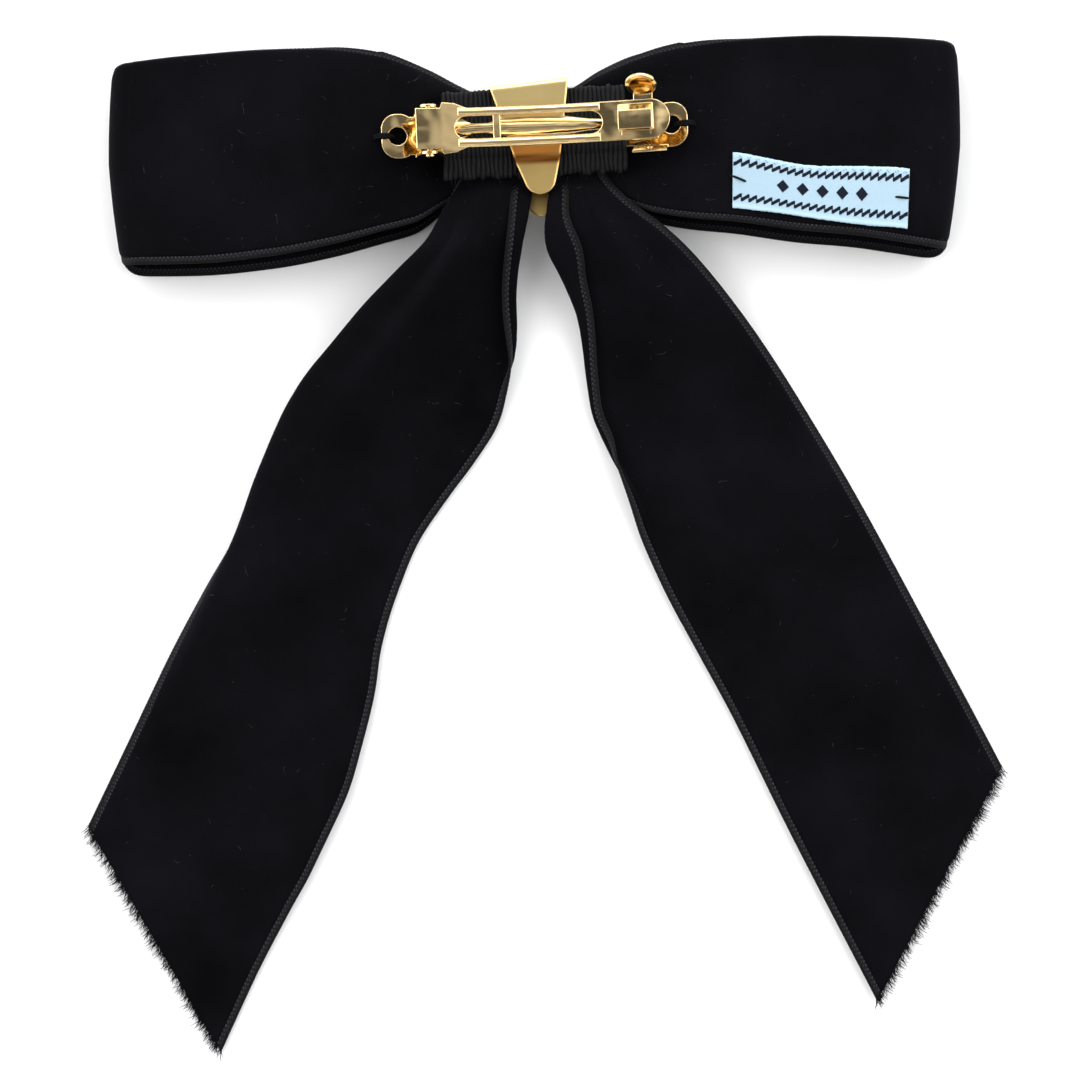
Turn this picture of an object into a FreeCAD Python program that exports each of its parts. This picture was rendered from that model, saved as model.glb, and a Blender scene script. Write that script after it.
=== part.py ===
import FreeCAD, Part
import math
import os

from FreeCAD import Vector

# Hair bow, in millimetres. It lies with its show face down on z = 0. +Z points to the clip side,
# +X runs along the clip from the hinge to the latch, and +Y points away from the ribbon tails.
# The origin is the outer face of the metal band's front leg, under the middle of the clip.

# ribbon
RIBBON_WIDTH = 50.0
RIBBON_THICK = 1.1
WAIST_WIDTH = 18.0          # width of the gathered ribbon inside the metal band
TAIL_THICK = 1.3
TAIL_ROOT_THICK = 1.7
TAIL_ROOT_GAP = 1.4         # between the two loops' and the two tails' roots
TAIL_LEFT = 206.0           # along its middle, from the band to the slanted cut
TAIL_RIGHT = 196.5
CUT_SHARE = 0.35            # slant of the cut: how far each edge runs short or long, over the width

# loops
LOOP_REACH = 96.0           # from the middle of the bow to the outer fold
LOOP_FULL_AT = 65.0         # distance from the middle where the ribbon is back to full width
LEFT_DROOP = 3.0            # how far the outer end hangs below the clip's line
RIGHT_DROOP = 7.0
LOOP_END_RADIUS = 5.6       # of the soft fold at the outer end
LOOP_BULGE = 12.5           # highest point of a loop's back layer
FLAT_SHARE = 0.97           # how much of the ribbon's width shows, as it is a little rolled

# metal band
BAND_THICK = 0.8
BAND_WIDTH = 18.1           # at its fold, on the +Y side
BAND_TAPER = 12.6           # degrees, each side
BAND_TILT = 4.3             # degrees about Z
BAND_FOLD_Y = 11.4
FRONT_TIP_Y = -18.2
BACK_TIP_Y = -14.2
TIP_RADIUS = 3.6
BAND_BEND = 1.2             # outer radius of the two folded edges
BAND_STEP_Y = -5.6          # where the tongue drops off the covered clip base

# stack between the band's two legs
LAYER_GAP = 0.4             # front leg to ribbon
LOOP_WAIST_Z = 5.2          # top of the gathered loops
THREAD = 0.35               # gathering thread
FIT_GAP = 0.05              # between neighbours that only lie on each other

# clip base: a strip bent to an arc whose ends rise
BASE_RADIUS = 150.0         # at its underside
BASE_Z = 7.5                # underside at the middle
BASE_THICK = 0.6
BASE_HALF = 4.3
CLIP_HALF_LENGTH = 34.5
TAB_HALF = 5.0
TAB_LENGTH = 7.6
TAB_CORNER = 3.4
HOLE_X = 30.9
HOLE_RADIUS = 2.05

# grosgrain pad
PAD_THICK = 1.0
PAD_LEFT = 20.9
PAD_RIGHT = 20.7
PAD_LOW = 10.0
PAD_HIGH = 9.5

# hinge
PIN_X = -23.6
PIN_RADIUS = 0.7
PIN_CLEARANCE = 0.05
PIN_DROP = 2.0              # pin axis below the arm's underside
EAR_INNER = 4.9
EAR_THICK = 0.6
EAR_LOBE = 2.2
CHEEK_OUTER = 4.6
CHEEK_THICK = 0.6
CHEEK_LOBE = 1.9

# arm
ARM_RISE = 10.4             # arm's underside above the base's underside
ARM_THICK = 0.7
ARM_LEFT = -26.3
ARM_RIGHT = 30.0
ARM_HALF = 4.4
SHOULDER_HALF = 5.75
RAIL_WIDTH = 1.9
RAIL_HEIGHT = 1.25
SLOT_LEFT = -17.7
SLOT_RIGHT = 15.1
SLOT_HALF = 2.5
CROSSBAR_X = -8.4
CROSSBAR_WIDTH = 1.6

# latch, in a frame turned with the arc to its own station
LATCH_X = 24.0              # at the arm's height
KEEPER_WALL = 0.55          # raised box on the arm
KEEPER_HEIGHT = 1.9
KEEPER_LEFT = -5.3
KEEPER_RIGHT = 2.3
KEEPER_LOW = -2.3
KEEPER_TOP_Y = 1.9
KEEPER_HIGH = 3.5
WINDOW_LOW = -1.7
WINDOW_HIGH = 2.0
LEAF_THICK = 0.5
LEAF_Y = 0.4
LEAF_HALF = 1.5
HOOK_GAP = 0.15             # hook's tip to the window's edge
HOOK_LIFT = 0.3             # hook above the arm's plate
FOOT_HALF = 2.2
FOOT_LOW = -3.0
BEND_GAP = 0.25             # between foot and leaf, at the bend they share
RIVET_RADIUS = 0.8
RIVET_Y = -1.5
STEM_HALF = 2.15
STEM_DROP = 2.0             # the button's stem below the arm's underside
BUTTON_RADIUS = 3.5
BUTTON_THICK = 0.6
BUTTON_Y = 7.4
BUTTON_LIFT = 1.2           # the button's middle above the arm's underside
BUTTON_LEAN = 61.0          # degrees between the button's face normal and the clip's own up

# tension bar
BAR_THICK = 0.45
BAR_EYE = 1.45
BAR_END_X = 17.5

# stitches and label
STITCH = 0.5
LABEL_LENGTH = 40.0
LABEL_WIDTH = 13.0
LABEL_THICK = 0.4
LABEL_X = 63.8
LABEL_Y = -16.1
LABEL_TILT = -8.6

ARC_Z = BASE_Z + BASE_RADIUS
FAR = 300.0                 # longer than any piece, for blocks that are cut to shape
OVERRUN = 5.0               # how far a blank runs past the outline that cuts it
UP = Vector(0, 0, 1)
OUT_Y = Vector(0, 1, 0)


# ---- small helpers ----

def box(x0, x1, y0, y1, z0, z1):
    return Part.makeBox(x1 - x0, y1 - y0, z1 - z0, Vector(x0, y0, z0))


def rod(radius, start, end):
    along = end.sub(start)
    return Part.makeCylinder(radius, along.Length, start, along)


def spline(points):
    curve = Part.BSplineCurve()
    curve.interpolate([Vector(*p) for p in points])
    return curve.toShape()


def polyline(points):
    return Part.makePolygon([Vector(*p) for p in points])


def face_of(*pieces):
    """A flat face inside a closed run of edges and wires, given in order."""
    edges = [edge for piece in pieces for edge in piece.Edges]
    return Part.Face(Part.Wire(Part.__sortEdges__(edges)))


def rounded_rectangle(x0, x1, y0, y1, r):
    """A flat face in XY with its corners rounded."""
    c = r * math.sqrt(0.5)
    lines = [
        ((x0 + r, y0), (x1 - r, y0)),
        ((x1, y0 + r), (x1, y1 - r)),
        ((x1 - r, y1), (x0 + r, y1)),
        ((x0, y1 - r), (x0, y0 + r)),
    ]
    corners = [(x1 - r, y0 + r, 1, -1), (x1 - r, y1 - r, 1, 1), (x0 + r, y1 - r, -1, 1), (x0 + r, y0 + r, -1, -1)]
    edges = []
    for (start, end), (cx, cy, sx, sy) in zip(lines, corners):
        edges.append(Part.LineSegment(Vector(*start, 0), Vector(*end, 0)).toShape())
        if sx * sy < 0:
            first, last = Vector(cx, cy + sy * r, 0), Vector(cx + sx * r, cy, 0)
        else:
            first, last = Vector(cx + sx * r, cy, 0), Vector(cx, cy + sy * r, 0)
        edges.append(Part.Arc(first, Vector(cx + sx * c, cy + sy * c, 0), last).toShape())
    return Part.Face(Part.Wire(edges))


def prism(face, z0=-5.0, z1=60.0):
    """A flat XY face made into a tall block."""
    block = face.copy()
    block.translate(Vector(0, 0, z0))
    return block.extrude(Vector(0, 0, z1 - z0))


def arc_strip(rise, thick, y0, y1):
    """A strip along the clip's arc, its underside a given height above the base's underside."""
    outer = BASE_RADIUS - rise
    inner = outer - thick
    spread = math.radians(18.0)

    def on(radius, angle):
        return Vector(radius * math.sin(angle), y0, ARC_Z - radius * math.cos(angle))

    low = Part.Arc(on(outer, -spread), on(outer, 0), on(outer, spread)).toShape()
    high = Part.Arc(on(inner, spread), on(inner, 0), on(inner, -spread)).toShape()
    right = Part.LineSegment(on(outer, spread), on(inner, spread)).toShape()
    left = Part.LineSegment(on(inner, -spread), on(outer, -spread)).toShape()
    return Part.Face(Part.Wire([low, right, high, left])).extrude(Vector(0, y1 - y0, 0))


def arc_height(rise, x):
    """Height at x of the arc that lies a given rise above the base's underside."""
    radius = BASE_RADIUS - rise
    return ARC_Z - math.sqrt(radius * radius - x * x)


def to_latch(shape):
    """Turns a shape drawn over the middle of the clip to the latch's place on the arc."""
    angle = math.degrees(math.asin(LATCH_X / (BASE_RADIUS - ARM_RISE - ARM_THICK)))
    shape.rotate(Vector(0, 0, ARC_Z), OUT_Y, -angle)
    return shape


def fuse(shapes):
    whole = shapes[0]
    for shape in shapes[1:]:
        whole = whole.fuse(shape)
    return whole.removeSplitter()


def turned(shape, degrees, at):
    shape.rotate(Vector(*at, 0), UP, degrees)
    return shape


# ---- ribbon ----

def loop_half_width(x):
    """Half of the ribbon's showing width at a distance x from the middle of the bow."""
    waist = WAIST_WIDTH / 2
    full = RIBBON_WIDTH / 2 * FLAT_SHARE
    share = min((x - waist) / (LOOP_FULL_AT - waist), 1.0)
    return waist + 1.0 + (full - waist - 1.0) * math.sin(math.pi / 2 * share)


def loop_outline(droop):
    """Plan of a loop on the +X side."""
    stations = [WAIST_WIDTH / 2 + 3.0, 20.0, 32.0, 46.0, LOOP_FULL_AT, LOOP_REACH]
    centre = [-droop * (x / LOOP_REACH) ** 1.5 for x in stations]
    half = [loop_half_width(x) for x in stations]
    top = [(x, c + h, 0) for x, c, h in zip(stations, centre, half)]
    low = [(x, c - h, 0) for x, c, h in zip(stations, centre, half)]
    start = TAIL_ROOT_GAP / 4
    waist = WAIST_WIDTH / 2
    neck = waist + 1.5
    root = polyline([top[0], (neck, waist, 0), (start, waist, 0), (start, -waist, 0), (neck, -waist, 0), low[0]])
    end = polyline([top[-1], low[-1]])
    return face_of(root, spline(low), end, spline(top))


def loop_top_points(lift=0.0):
    """Outside of the loop's back layer in XZ, from the waist outwards."""
    end_z = 2 * LOOP_END_RADIUS
    points = [(11.0, LOOP_WAIST_Z), (18.0, 5.4), (25.0, 7.2), (31.0, 9.0), (45.0, 11.5), (60.0, LOOP_BULGE)]
    points += [(76.0, 12.2), (LOOP_REACH - LOOP_END_RADIUS, end_z)]
    return [(x, z + lift) for x, z in points]


def in_xz(points, y=-FAR / 2):
    return [(x, y, z) for x, z in points]


def loop_section(thick):
    """Closed XZ outline of a loop, or of the hollow inside it when drawn in by the ribbon's thickness."""
    y = -FAR / 2
    fold = LOOP_REACH - LOOP_END_RADIUS
    low_root = BAND_THICK + LAYER_GAP
    root_x = TAIL_ROOT_GAP / 4
    fold_top = Vector(fold, y, 2 * LOOP_END_RADIUS - thick)
    fold_out = Vector(LOOP_REACH - thick, y, LOOP_END_RADIUS)
    fold_low = Vector(fold, y, thick)
    arc = Part.Arc(fold_top, fold_out, fold_low).toShape()
    if thick == 0:
        top = spline(in_xz(loop_top_points()))
        root = [(20.0, 0.0), (14.0, low_root), (root_x, low_root), (root_x, LOOP_WAIST_Z), (11.0, LOOP_WAIST_Z)]
        low = polyline([(fold, y, 0)] + in_xz(root))
        return face_of(top, arc, low)
    inside = loop_top_points(-thick)[1:]
    throat_x, throat_z = inside[0]
    low = polyline(in_xz([(fold, thick), (throat_x + 4.0, thick), (throat_x, throat_z)]))
    return face_of(spline(in_xz(inside)), arc, low)


def make_loop(side, droop):
    body = loop_section(0).cut(loop_section(RIBBON_THICK)).extrude(Vector(0, FAR, 0))
    loop = body.common(prism(loop_outline(droop)))
    if side < 0:
        loop = loop.mirror(Vector(0, 0, 0), Vector(1, 0, 0))
    return loop


def tail_outline(side, start, direction, neck, outer, inner, length):
    """Plan of a tail.

    neck gives the gathered part as (distance along, outer half, inner half), set by how tightly it is
    gathered. outer and inner list how far each edge of the rest is drawn in from the flat ribbon's edge.
    """
    along = Vector(*direction, 0).normalize()
    across = Vector(-along.y, along.x, 0) * side
    half = RIBBON_WIDTH / 2
    origin = Vector(*start, 0)

    def at(s, w):
        return tuple(origin + along * s + across * w)

    cut = RIBBON_WIDTH * CUT_SHARE
    outer_edge = [at(s, w) for s, w, _ in neck] + [at(s, half - inset) for s, inset in outer]
    inner_edge = [at(s, -w) for s, _, w in neck] + [at(s, inset - half) for s, inset in inner]
    outer_edge.append(at(length - cut, half - 0.3))
    inner_edge.append(at(length + cut, 0.3 - half))
    root = polyline([inner_edge[0], outer_edge[0]])
    end = polyline([outer_edge[-1], inner_edge[-1]])
    return face_of(root, spline(outer_edge), end, spline(inner_edge))


def tail_section(low_end):
    """Closed YZ outline of a tail, from its root inside the band down to the floor it lies on."""
    root_z = LOOP_WAIST_Z + THREAD + 2 * FIT_GAP
    under = [(6.0, root_z), (-PAD_LOW - 0.5, root_z), (BACK_TIP_Y - 0.3, 7.3), (-20.0, 8.9), (-30.0, 8.0)]
    under += [(-50.0, 5.0), (-80.0, 3.0), (-115.0, 1.2), (-145.0, 0.0), (low_end, 0.0)]
    shift = [TAIL_ROOT_THICK, TAIL_ROOT_THICK] + [TAIL_THICK] * (len(under) - 2)
    over = [(y, z + t) for (y, z), t in zip(under, shift)]
    low = polyline([(-FAR / 2, y, z) for y, z in under])
    high = polyline([(-FAR / 2, y, z) for y, z in reversed(over)])
    ends = [polyline([(-FAR / 2, *over[0]), (-FAR / 2, *under[0])])]
    ends.append(polyline([(-FAR / 2, *under[-1]), (-FAR / 2, *over[-1])]))
    return face_of(low, ends[1], high, ends[0])


def tail_on(outline):
    slab = tail_section(-FAR).extrude(Vector(FAR, 0, 0))
    return slab.common(prism(outline))


def left_tail():
    neck = [(0.0, 8.0, 2.0), (17.0, 6.5, 8.8), (30.0, 8.5, 12.4), (47.0, 13.0, 19.0)]
    outer = [(64.0, 8.3), (80.0, 4.0), (98.0, 4.4), (113.0, 5.3), (147.0, 1.6)]
    inner = [(66.0, 2.2), (84.0, 5.8), (101.0, 8.1), (118.0, 6.2), (145.0, 0.8), (172.0, -3.3), (192.0, -0.4)]
    return tail_on(tail_outline(-1, (-2.5, 4.0), (-0.451, -0.8925), neck, outer, inner, TAIL_LEFT))


def right_tail():
    neck = [(0.0, 8.0, 2.0), (17.0, 6.5, 8.8), (26.0, 6.8, 14.6), (43.0, 15.0, 16.3)]
    outer = [(65.0, 4.2), (110.0, 1.8), (144.0, 1.2)]
    inner = [(57.0, 5.0), (75.0, 3.4), (100.0, -0.9), (124.0, -0.2), (170.0, -0.3)]
    return tail_on(tail_outline(1, (4.6, 4.0), (0.4125, -0.911), neck, outer, inner, TAIL_RIGHT))


def gather_thread():
    """Thread tied round the gathered loops inside the band."""
    low = BAND_THICK + LAYER_GAP / 2
    high = LOOP_WAIST_Z + FIT_GAP + THREAD / 2
    half = WAIST_WIDTH / 2 + 0.3
    ring = rounded_rectangle(low, high, -half, half, 1.2)
    ring.rotate(Vector(0, 0, 0), OUT_Y, -90)
    ring.translate(Vector(-0.1, 0, 0))
    path = ring.OuterWire
    start = path.Edges[0].valueAt(path.Edges[0].FirstParameter)
    heading = path.Edges[0].tangentAt(path.Edges[0].FirstParameter)
    section = Part.Wire(Part.makeCircle(THREAD / 2, start, heading))
    return path.makePipeShell([section], True, True)


# ---- metal band ----

def band_plan(tip_y):
    """Tapered plan with a rounded tip, before it is tilted."""
    half = BAND_WIDTH / 2
    slope = math.tan(math.radians(BAND_TAPER))
    angle = math.radians(BAND_TAPER)
    centre_y = tip_y + TIP_RADIUS
    tangent = Vector(TIP_RADIUS * math.cos(angle), centre_y - TIP_RADIUS * math.sin(angle), 0)
    shoulder_y = centre_y + 4.0
    shoulder = Vector(half - slope * (BAND_FOLD_Y - shoulder_y), shoulder_y, 0)
    left_tangent = Vector(-tangent.x, tangent.y, 0)
    left_shoulder = Vector(-shoulder.x, shoulder.y, 0)
    tip = Part.Arc(tangent, Vector(0, tip_y, 0), left_tangent).toShape()
    sides = polyline([left_tangent, left_shoulder, (-half, BAND_FOLD_Y, 0), (half, BAND_FOLD_Y, 0), shoulder, tangent])
    return face_of(tip, sides)


def centre_band():
    """The band's C-shaped section, cut to its tapered front leg and its shorter tongue."""
    tongue_z = BASE_Z + BASE_THICK + FIT_GAP + PAD_THICK + 0.3
    top_z = tongue_z + BAND_THICK
    step = BASE_THICK
    wall = BAND_FOLD_Y - BAND_THICK
    front_end = FRONT_TIP_Y - OVERRUN
    back_end = BACK_TIP_Y - OVERRUN
    left = -BAND_WIDTH / 2 - OVERRUN
    outline = [(front_end, 0), (BAND_FOLD_Y, 0), (BAND_FOLD_Y, top_z), (BAND_STEP_Y, top_z)]
    outline += [(BAND_STEP_Y - 1.0, top_z - step), (back_end, top_z - step), (back_end, tongue_z - step)]
    outline += [(BAND_STEP_Y - 1.0, tongue_z - step), (BAND_STEP_Y, tongue_z), (wall, tongue_z)]
    outline += [(wall, BAND_THICK), (front_end, BAND_THICK), (front_end, 0)]
    section = polyline([(left, y, z) for y, z in outline])
    strip = Part.Face(section).extrude(Vector(-2 * left, 0, 0))
    bends = [e for e in strip.Edges if is_fold(e, top_z)]
    strip = strip.makeFillet(BAND_BEND, bends)
    middle = (tongue_z + BAND_THICK) / 2
    front = strip.common(prism(band_plan(FRONT_TIP_Y), -5, middle))
    back = strip.common(prism(band_plan(BACK_TIP_Y), middle, 60))
    return turned(fuse([front, back]), BAND_TILT, (0, 0))


def is_fold(edge, top_z):
    """Whether an edge is one of the two outer edges of the band's folded wall."""
    if len(edge.Vertexes) != 2:
        return False
    a, b = edge.Vertexes[0].Point, edge.Vertexes[1].Point
    on_wall = abs(a.y - BAND_FOLD_Y) < 1e-6 and abs(b.y - BAND_FOLD_Y) < 1e-6
    level = abs(a.z - b.z) < 1e-6 and (abs(a.z) < 1e-6 or abs(a.z - top_z) < 1e-6)
    return on_wall and level


# ---- clip base and pad ----

def pin_centre():
    return Vector(PIN_X, 0, arc_height(ARM_RISE, PIN_X) - PIN_DROP)


def ear(side):
    """One folded-up ear that carries the hinge pin."""
    pin = pin_centre()
    foot = arc_height(BASE_THICK / 2, PIN_X)
    y = side * EAR_INNER if side > 0 else -EAR_INNER - EAR_THICK
    lean = math.radians(35)
    left = Vector(pin.x - EAR_LOBE * math.cos(lean), y, pin.z + EAR_LOBE * math.sin(lean))
    right = Vector(pin.x + EAR_LOBE * math.cos(lean), y, pin.z + EAR_LOBE * math.sin(lean))
    top = Part.Arc(left, Vector(pin.x, y, pin.z + EAR_LOBE), right).toShape()
    sides = polyline([right, (pin.x + 4.0, y, foot + 1.2), (pin.x + 4.0, y, foot), (pin.x - 3.4, y, foot),
                      (pin.x - 3.4, y, foot + 1.2), left])
    return face_of(top, sides).extrude(Vector(0, EAR_THICK, 0))


def side_flange():
    """Low folded edge beside the latch, with one small hole."""
    low = BASE_Z + BASE_THICK / 2
    flange = box(-3.6, 4.2, -BASE_HALF - 0.55, -BASE_HALF, low, low + 3.4)
    drill = rod(0.8, Vector(0.3, -BASE_HALF - 2, low + 2.0), Vector(0.3, -BASE_HALF + 2, low + 2.0))
    flange = flange.cut(drill)
    flange.rotate(Vector(0, -BASE_HALF, low), Vector(1, 0, 0), 24)
    return to_latch(flange)


def clip_base():
    strip = arc_strip(0, BASE_THICK, -FAR / 10, FAR / 10)
    plans = [rounded_rectangle(-HOLE_X, HOLE_X, -BASE_HALF, BASE_HALF, 0.5)]
    for side in (-1, 1):
        ends = sorted((side * CLIP_HALF_LENGTH, side * (CLIP_HALF_LENGTH - TAB_LENGTH)))
        plans.append(rounded_rectangle(*ends, -TAB_HALF, TAB_HALF, TAB_CORNER))
    ear_half = EAR_INNER + EAR_THICK
    plans.append(rounded_rectangle(PIN_X - 3.4, PIN_X + 4.0, -ear_half, ear_half, 0.4))
    base = fuse([strip.common(prism(plan)) for plan in plans] + [ear(-1), ear(1), side_flange()])
    for side in (-1, 1):
        base = base.cut(rod(HOLE_RADIUS, Vector(side * HOLE_X, 0, 0), Vector(side * HOLE_X, 0, 30)))
    pin = pin_centre()
    base = base.cut(rod(PIN_RADIUS, pin - OUT_Y * 10, pin + OUT_Y * 10))
    return base.cut(rivet_shank())


def grosgrain_pad():
    """Ribbed tape laid over the clip base, lower beside it than on top of it."""
    over_base = BASE_THICK + FIT_GAP
    edge = BASE_HALF + 0.3
    parts = [arc_strip(over_base, PAD_THICK, -edge, edge)]
    parts.append(arc_strip(FIT_GAP, PAD_THICK, -PAD_LOW, -edge + 0.2))
    parts.append(arc_strip(FIT_GAP, PAD_THICK, edge - 0.2, PAD_HIGH))
    hat = fuse(parts)
    base_room = arc_strip(0, BASE_THICK + FIT_GAP, -BASE_HALF - FIT_GAP, BASE_HALF + FIT_GAP)
    plan = rounded_rectangle(-PAD_LEFT, PAD_RIGHT, -PAD_LOW, PAD_HIGH, 0.8)
    ear_room = box(-40, PIN_X + 4.0 + 0.3, -7, 7, 0, 30)
    return hat.cut(base_room).common(prism(plan)).cut(ear_room)


def hinge_pin():
    pin = pin_centre()
    half = EAR_INNER + EAR_THICK
    shank = rod(PIN_RADIUS, pin - OUT_Y * (half + 0.5), pin + OUT_Y * (half + 0.1))
    head = rod(PIN_RADIUS + 0.35, pin - OUT_Y * (half + 0.45), pin - OUT_Y * half)
    return fuse([shank, head])


# ---- arm ----

def arm_plan():
    shoulder_left = PIN_X + EAR_LOBE + 0.5
    x = [ARM_LEFT, shoulder_left, shoulder_left + 0.5, shoulder_left + 3.2, SLOT_LEFT + 2.6, ARM_RIGHT - 4.0]
    half = [ARM_HALF + 0.1, ARM_HALF + 0.1, SHOULDER_HALF, SHOULDER_HALF - 0.3, ARM_HALF, ARM_HALF]
    top = list(zip(x, half))
    low = [(px, -py) for px, py in reversed(top)]
    nose = Part.Arc(Vector(*low[0], 0), Vector(ARM_RIGHT, 0, 0), Vector(*top[-1], 0)).toShape()
    sides = polyline([(px, py, 0) for px, py in reversed(top)] + [(px, py, 0) for px, py in reversed(low)])
    return face_of(nose, sides)


def rail(side):
    """Half-round rail along one side of the slot, following the arc."""
    middle = side * (ARM_HALF - RAIL_WIDTH / 2)
    z = BASE_Z + ARM_RISE
    half = RAIL_WIDTH / 2
    flat = ARM_THICK * 0.4
    arch = Part.Arc(Vector(0, middle - half, z + flat), Vector(0, middle, z + RAIL_HEIGHT),
                    Vector(0, middle + half, z + flat)).toShape()
    foot = polyline([(0, middle + half, z + flat), (0, middle + half, z), (0, middle - half, z),
                     (0, middle - half, z + flat)])
    section = face_of(arch, foot)
    section.rotate(Vector(0, 0, ARC_Z), OUT_Y, 9.0)
    bar = section.revolve(Vector(0, 0, ARC_Z), Vector(0, -1, 0), 18.0)
    return bar.common(box(SLOT_LEFT + 0.8, SLOT_RIGHT - 0.6, -20, 20, 0, 60))


def cheek(side):
    """Lug under the arm that turns on the pin."""
    pin = pin_centre()
    top = pin.z + PIN_DROP + ARM_THICK / 2
    y = CHEEK_OUTER - CHEEK_THICK if side > 0 else -CHEEK_OUTER
    lobe = Part.Arc(Vector(pin.x - CHEEK_LOBE, y, pin.z), Vector(pin.x, y, pin.z - CHEEK_LOBE),
                    Vector(pin.x + CHEEK_LOBE, y, pin.z)).toShape()
    sides = polyline([(pin.x + CHEEK_LOBE, y, pin.z), (pin.x + CHEEK_LOBE, y, top),
                      (pin.x - CHEEK_LOBE, y, top), (pin.x - CHEEK_LOBE, y, pin.z)])
    return face_of(lobe, sides).extrude(Vector(0, CHEEK_THICK, 0))


def keeper_prism(inset, x0, x1):
    """Solid under the raised box's roof, drawn over the middle of the clip."""
    low = BASE_Z + ARM_RISE + ARM_THICK / 2
    roof = BASE_Z + ARM_RISE + ARM_THICK + KEEPER_HEIGHT - inset
    face = Part.Face(Part.makePolygon([
        Vector(x0, KEEPER_LOW, low), Vector(x0, KEEPER_LOW, roof), Vector(x0, KEEPER_TOP_Y, roof),
        Vector(x0, KEEPER_HIGH - inset, low + ARM_THICK / 2), Vector(x0, KEEPER_HIGH - inset, low),
        Vector(x0, KEEPER_LOW, low)]))
    return face.extrude(Vector(x1 - x0, 0, 0))


def clip_arm():
    plate = arc_strip(ARM_RISE, ARM_THICK, -FAR / 10, FAR / 10).common(prism(arm_plan()))
    plate = plate.cut(prism(rounded_rectangle(SLOT_LEFT, SLOT_RIGHT, -SLOT_HALF, SLOT_HALF, SLOT_HALF - 0.01)))
    half_bar = CROSSBAR_WIDTH / 2
    bar_plan = rounded_rectangle(CROSSBAR_X - half_bar, CROSSBAR_X + half_bar, -SLOT_HALF - 0.5, SLOT_HALF + 0.5, 0.1)
    crossbar = arc_strip(ARM_RISE + 0.1, ARM_THICK, -10, 10).common(prism(bar_plan))
    keeper = to_latch(keeper_prism(0, KEEPER_LEFT, KEEPER_RIGHT))
    arm = fuse([plate, crossbar, rail(-1), rail(1), cheek(-1), cheek(1), keeper])
    hollow = keeper_prism(KEEPER_WALL, KEEPER_LEFT + KEEPER_WALL, KEEPER_RIGHT - KEEPER_WALL)
    open_side = hollow.copy()
    open_side.translate(Vector(0, -KEEPER_WALL * 2, 0))
    window = box(KEEPER_LEFT + KEEPER_WALL, KEEPER_RIGHT - KEEPER_WALL, WINDOW_LOW, WINDOW_HIGH,
                 BASE_Z + ARM_RISE - 1, BASE_Z + ARM_RISE + ARM_THICK + 0.5)
    above_plate = box(-20, 20, -20, 20, BASE_Z + ARM_RISE + ARM_THICK, 40)
    for room in (hollow.common(above_plate), open_side.common(above_plate), window):
        arm = arm.cut(to_latch(room))
    pin = pin_centre()
    return arm.cut(rod(PIN_RADIUS + PIN_CLEARANCE, pin - OUT_Y * 10, pin + OUT_Y * 10))


def tension_bar():
    """Sprung strip under the arm, with an eye on the hinge pin."""
    pin = pin_centre()
    under_eye = pin.z - BAR_EYE
    arch = arc_height(ARM_RISE, 0) - BAR_THICK - 0.4
    end_z = arch - 2.1
    y = -10

    def bow(lift):
        points = [(pin.x, under_eye + lift), (-3.0, arch + lift), (BAR_END_X, end_z + lift)]
        return Part.Arc(*[Vector(px, y, pz) for px, pz in points]).toShape()

    ends = [polyline([(BAR_END_X, y, end_z), (BAR_END_X, y, end_z + BAR_THICK)])]
    ends.append(polyline([(pin.x, y, under_eye + BAR_THICK), (pin.x, y, under_eye)]))
    sheet = face_of(bow(0), ends[0], bow(BAR_THICK), ends[1]).extrude(Vector(0, 20, 0))
    half = [(pin.x, 2.2), (-16.0, 2.2), (-14.0, 1.1), (-10.5, 1.1), (-6.0, 2.1), (6.0, 2.2), (12.0, 1.3), (BAR_END_X, 1.0)]
    outline = polyline([(x, w, 0) for x, w in half] + [(x, -w, 0) for x, w in reversed(half)] + [(pin.x, 2.2, 0)])
    blade = sheet.common(prism(Part.Face(outline)))
    eye = rod(BAR_EYE, pin - OUT_Y * 2.2, pin + OUT_Y * 2.2)
    return fuse([blade, eye]).cut(rod(PIN_RADIUS + PIN_CLEARANCE, pin - OUT_Y * 10, pin + OUT_Y * 10))


# ---- latch ----

def rivet_shank():
    low = BASE_Z + FIT_GAP
    return to_latch(rod(RIVET_RADIUS, Vector(0, RIVET_Y, low), Vector(0, RIVET_Y, low + 3)))


def foot_top():
    return BASE_Z + BASE_THICK + LEAF_THICK


def latch_foot():
    plan = box(-FOOT_HALF, FOOT_HALF, FOOT_LOW, LEAF_Y + LEAF_THICK, BASE_Z + BASE_THICK, foot_top())
    inside = arc_strip(BASE_THICK, BASE_THICK * 4, -10, 10)
    return to_latch(plan).common(inside).cut(rivet_shank())


def latch_rivet():
    """Shank flush under the base, with a low domed head on the latch's foot."""
    low = BASE_Z + FIT_GAP
    shank = rod(RIVET_RADIUS, Vector(0, RIVET_Y, low), Vector(0, RIVET_Y, foot_top()))
    head = Part.makeSphere(RIVET_RADIUS * 1.9, Vector(0, RIVET_Y, foot_top() - RIVET_RADIUS * 1.3))
    head = head.common(box(-5, 5, -8, 5, foot_top(), 40))
    return to_latch(fuse([shank, head]))


def button_frame(shape):
    """Leans a shape drawn about Z at the origin to the button's place."""
    shape.rotate(Vector(0, 0, 0), Vector(1, 0, 0), BUTTON_LEAN)
    shape.translate(Vector(0, BUTTON_Y, BASE_Z + ARM_RISE + BUTTON_LIFT))
    return shape


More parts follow.
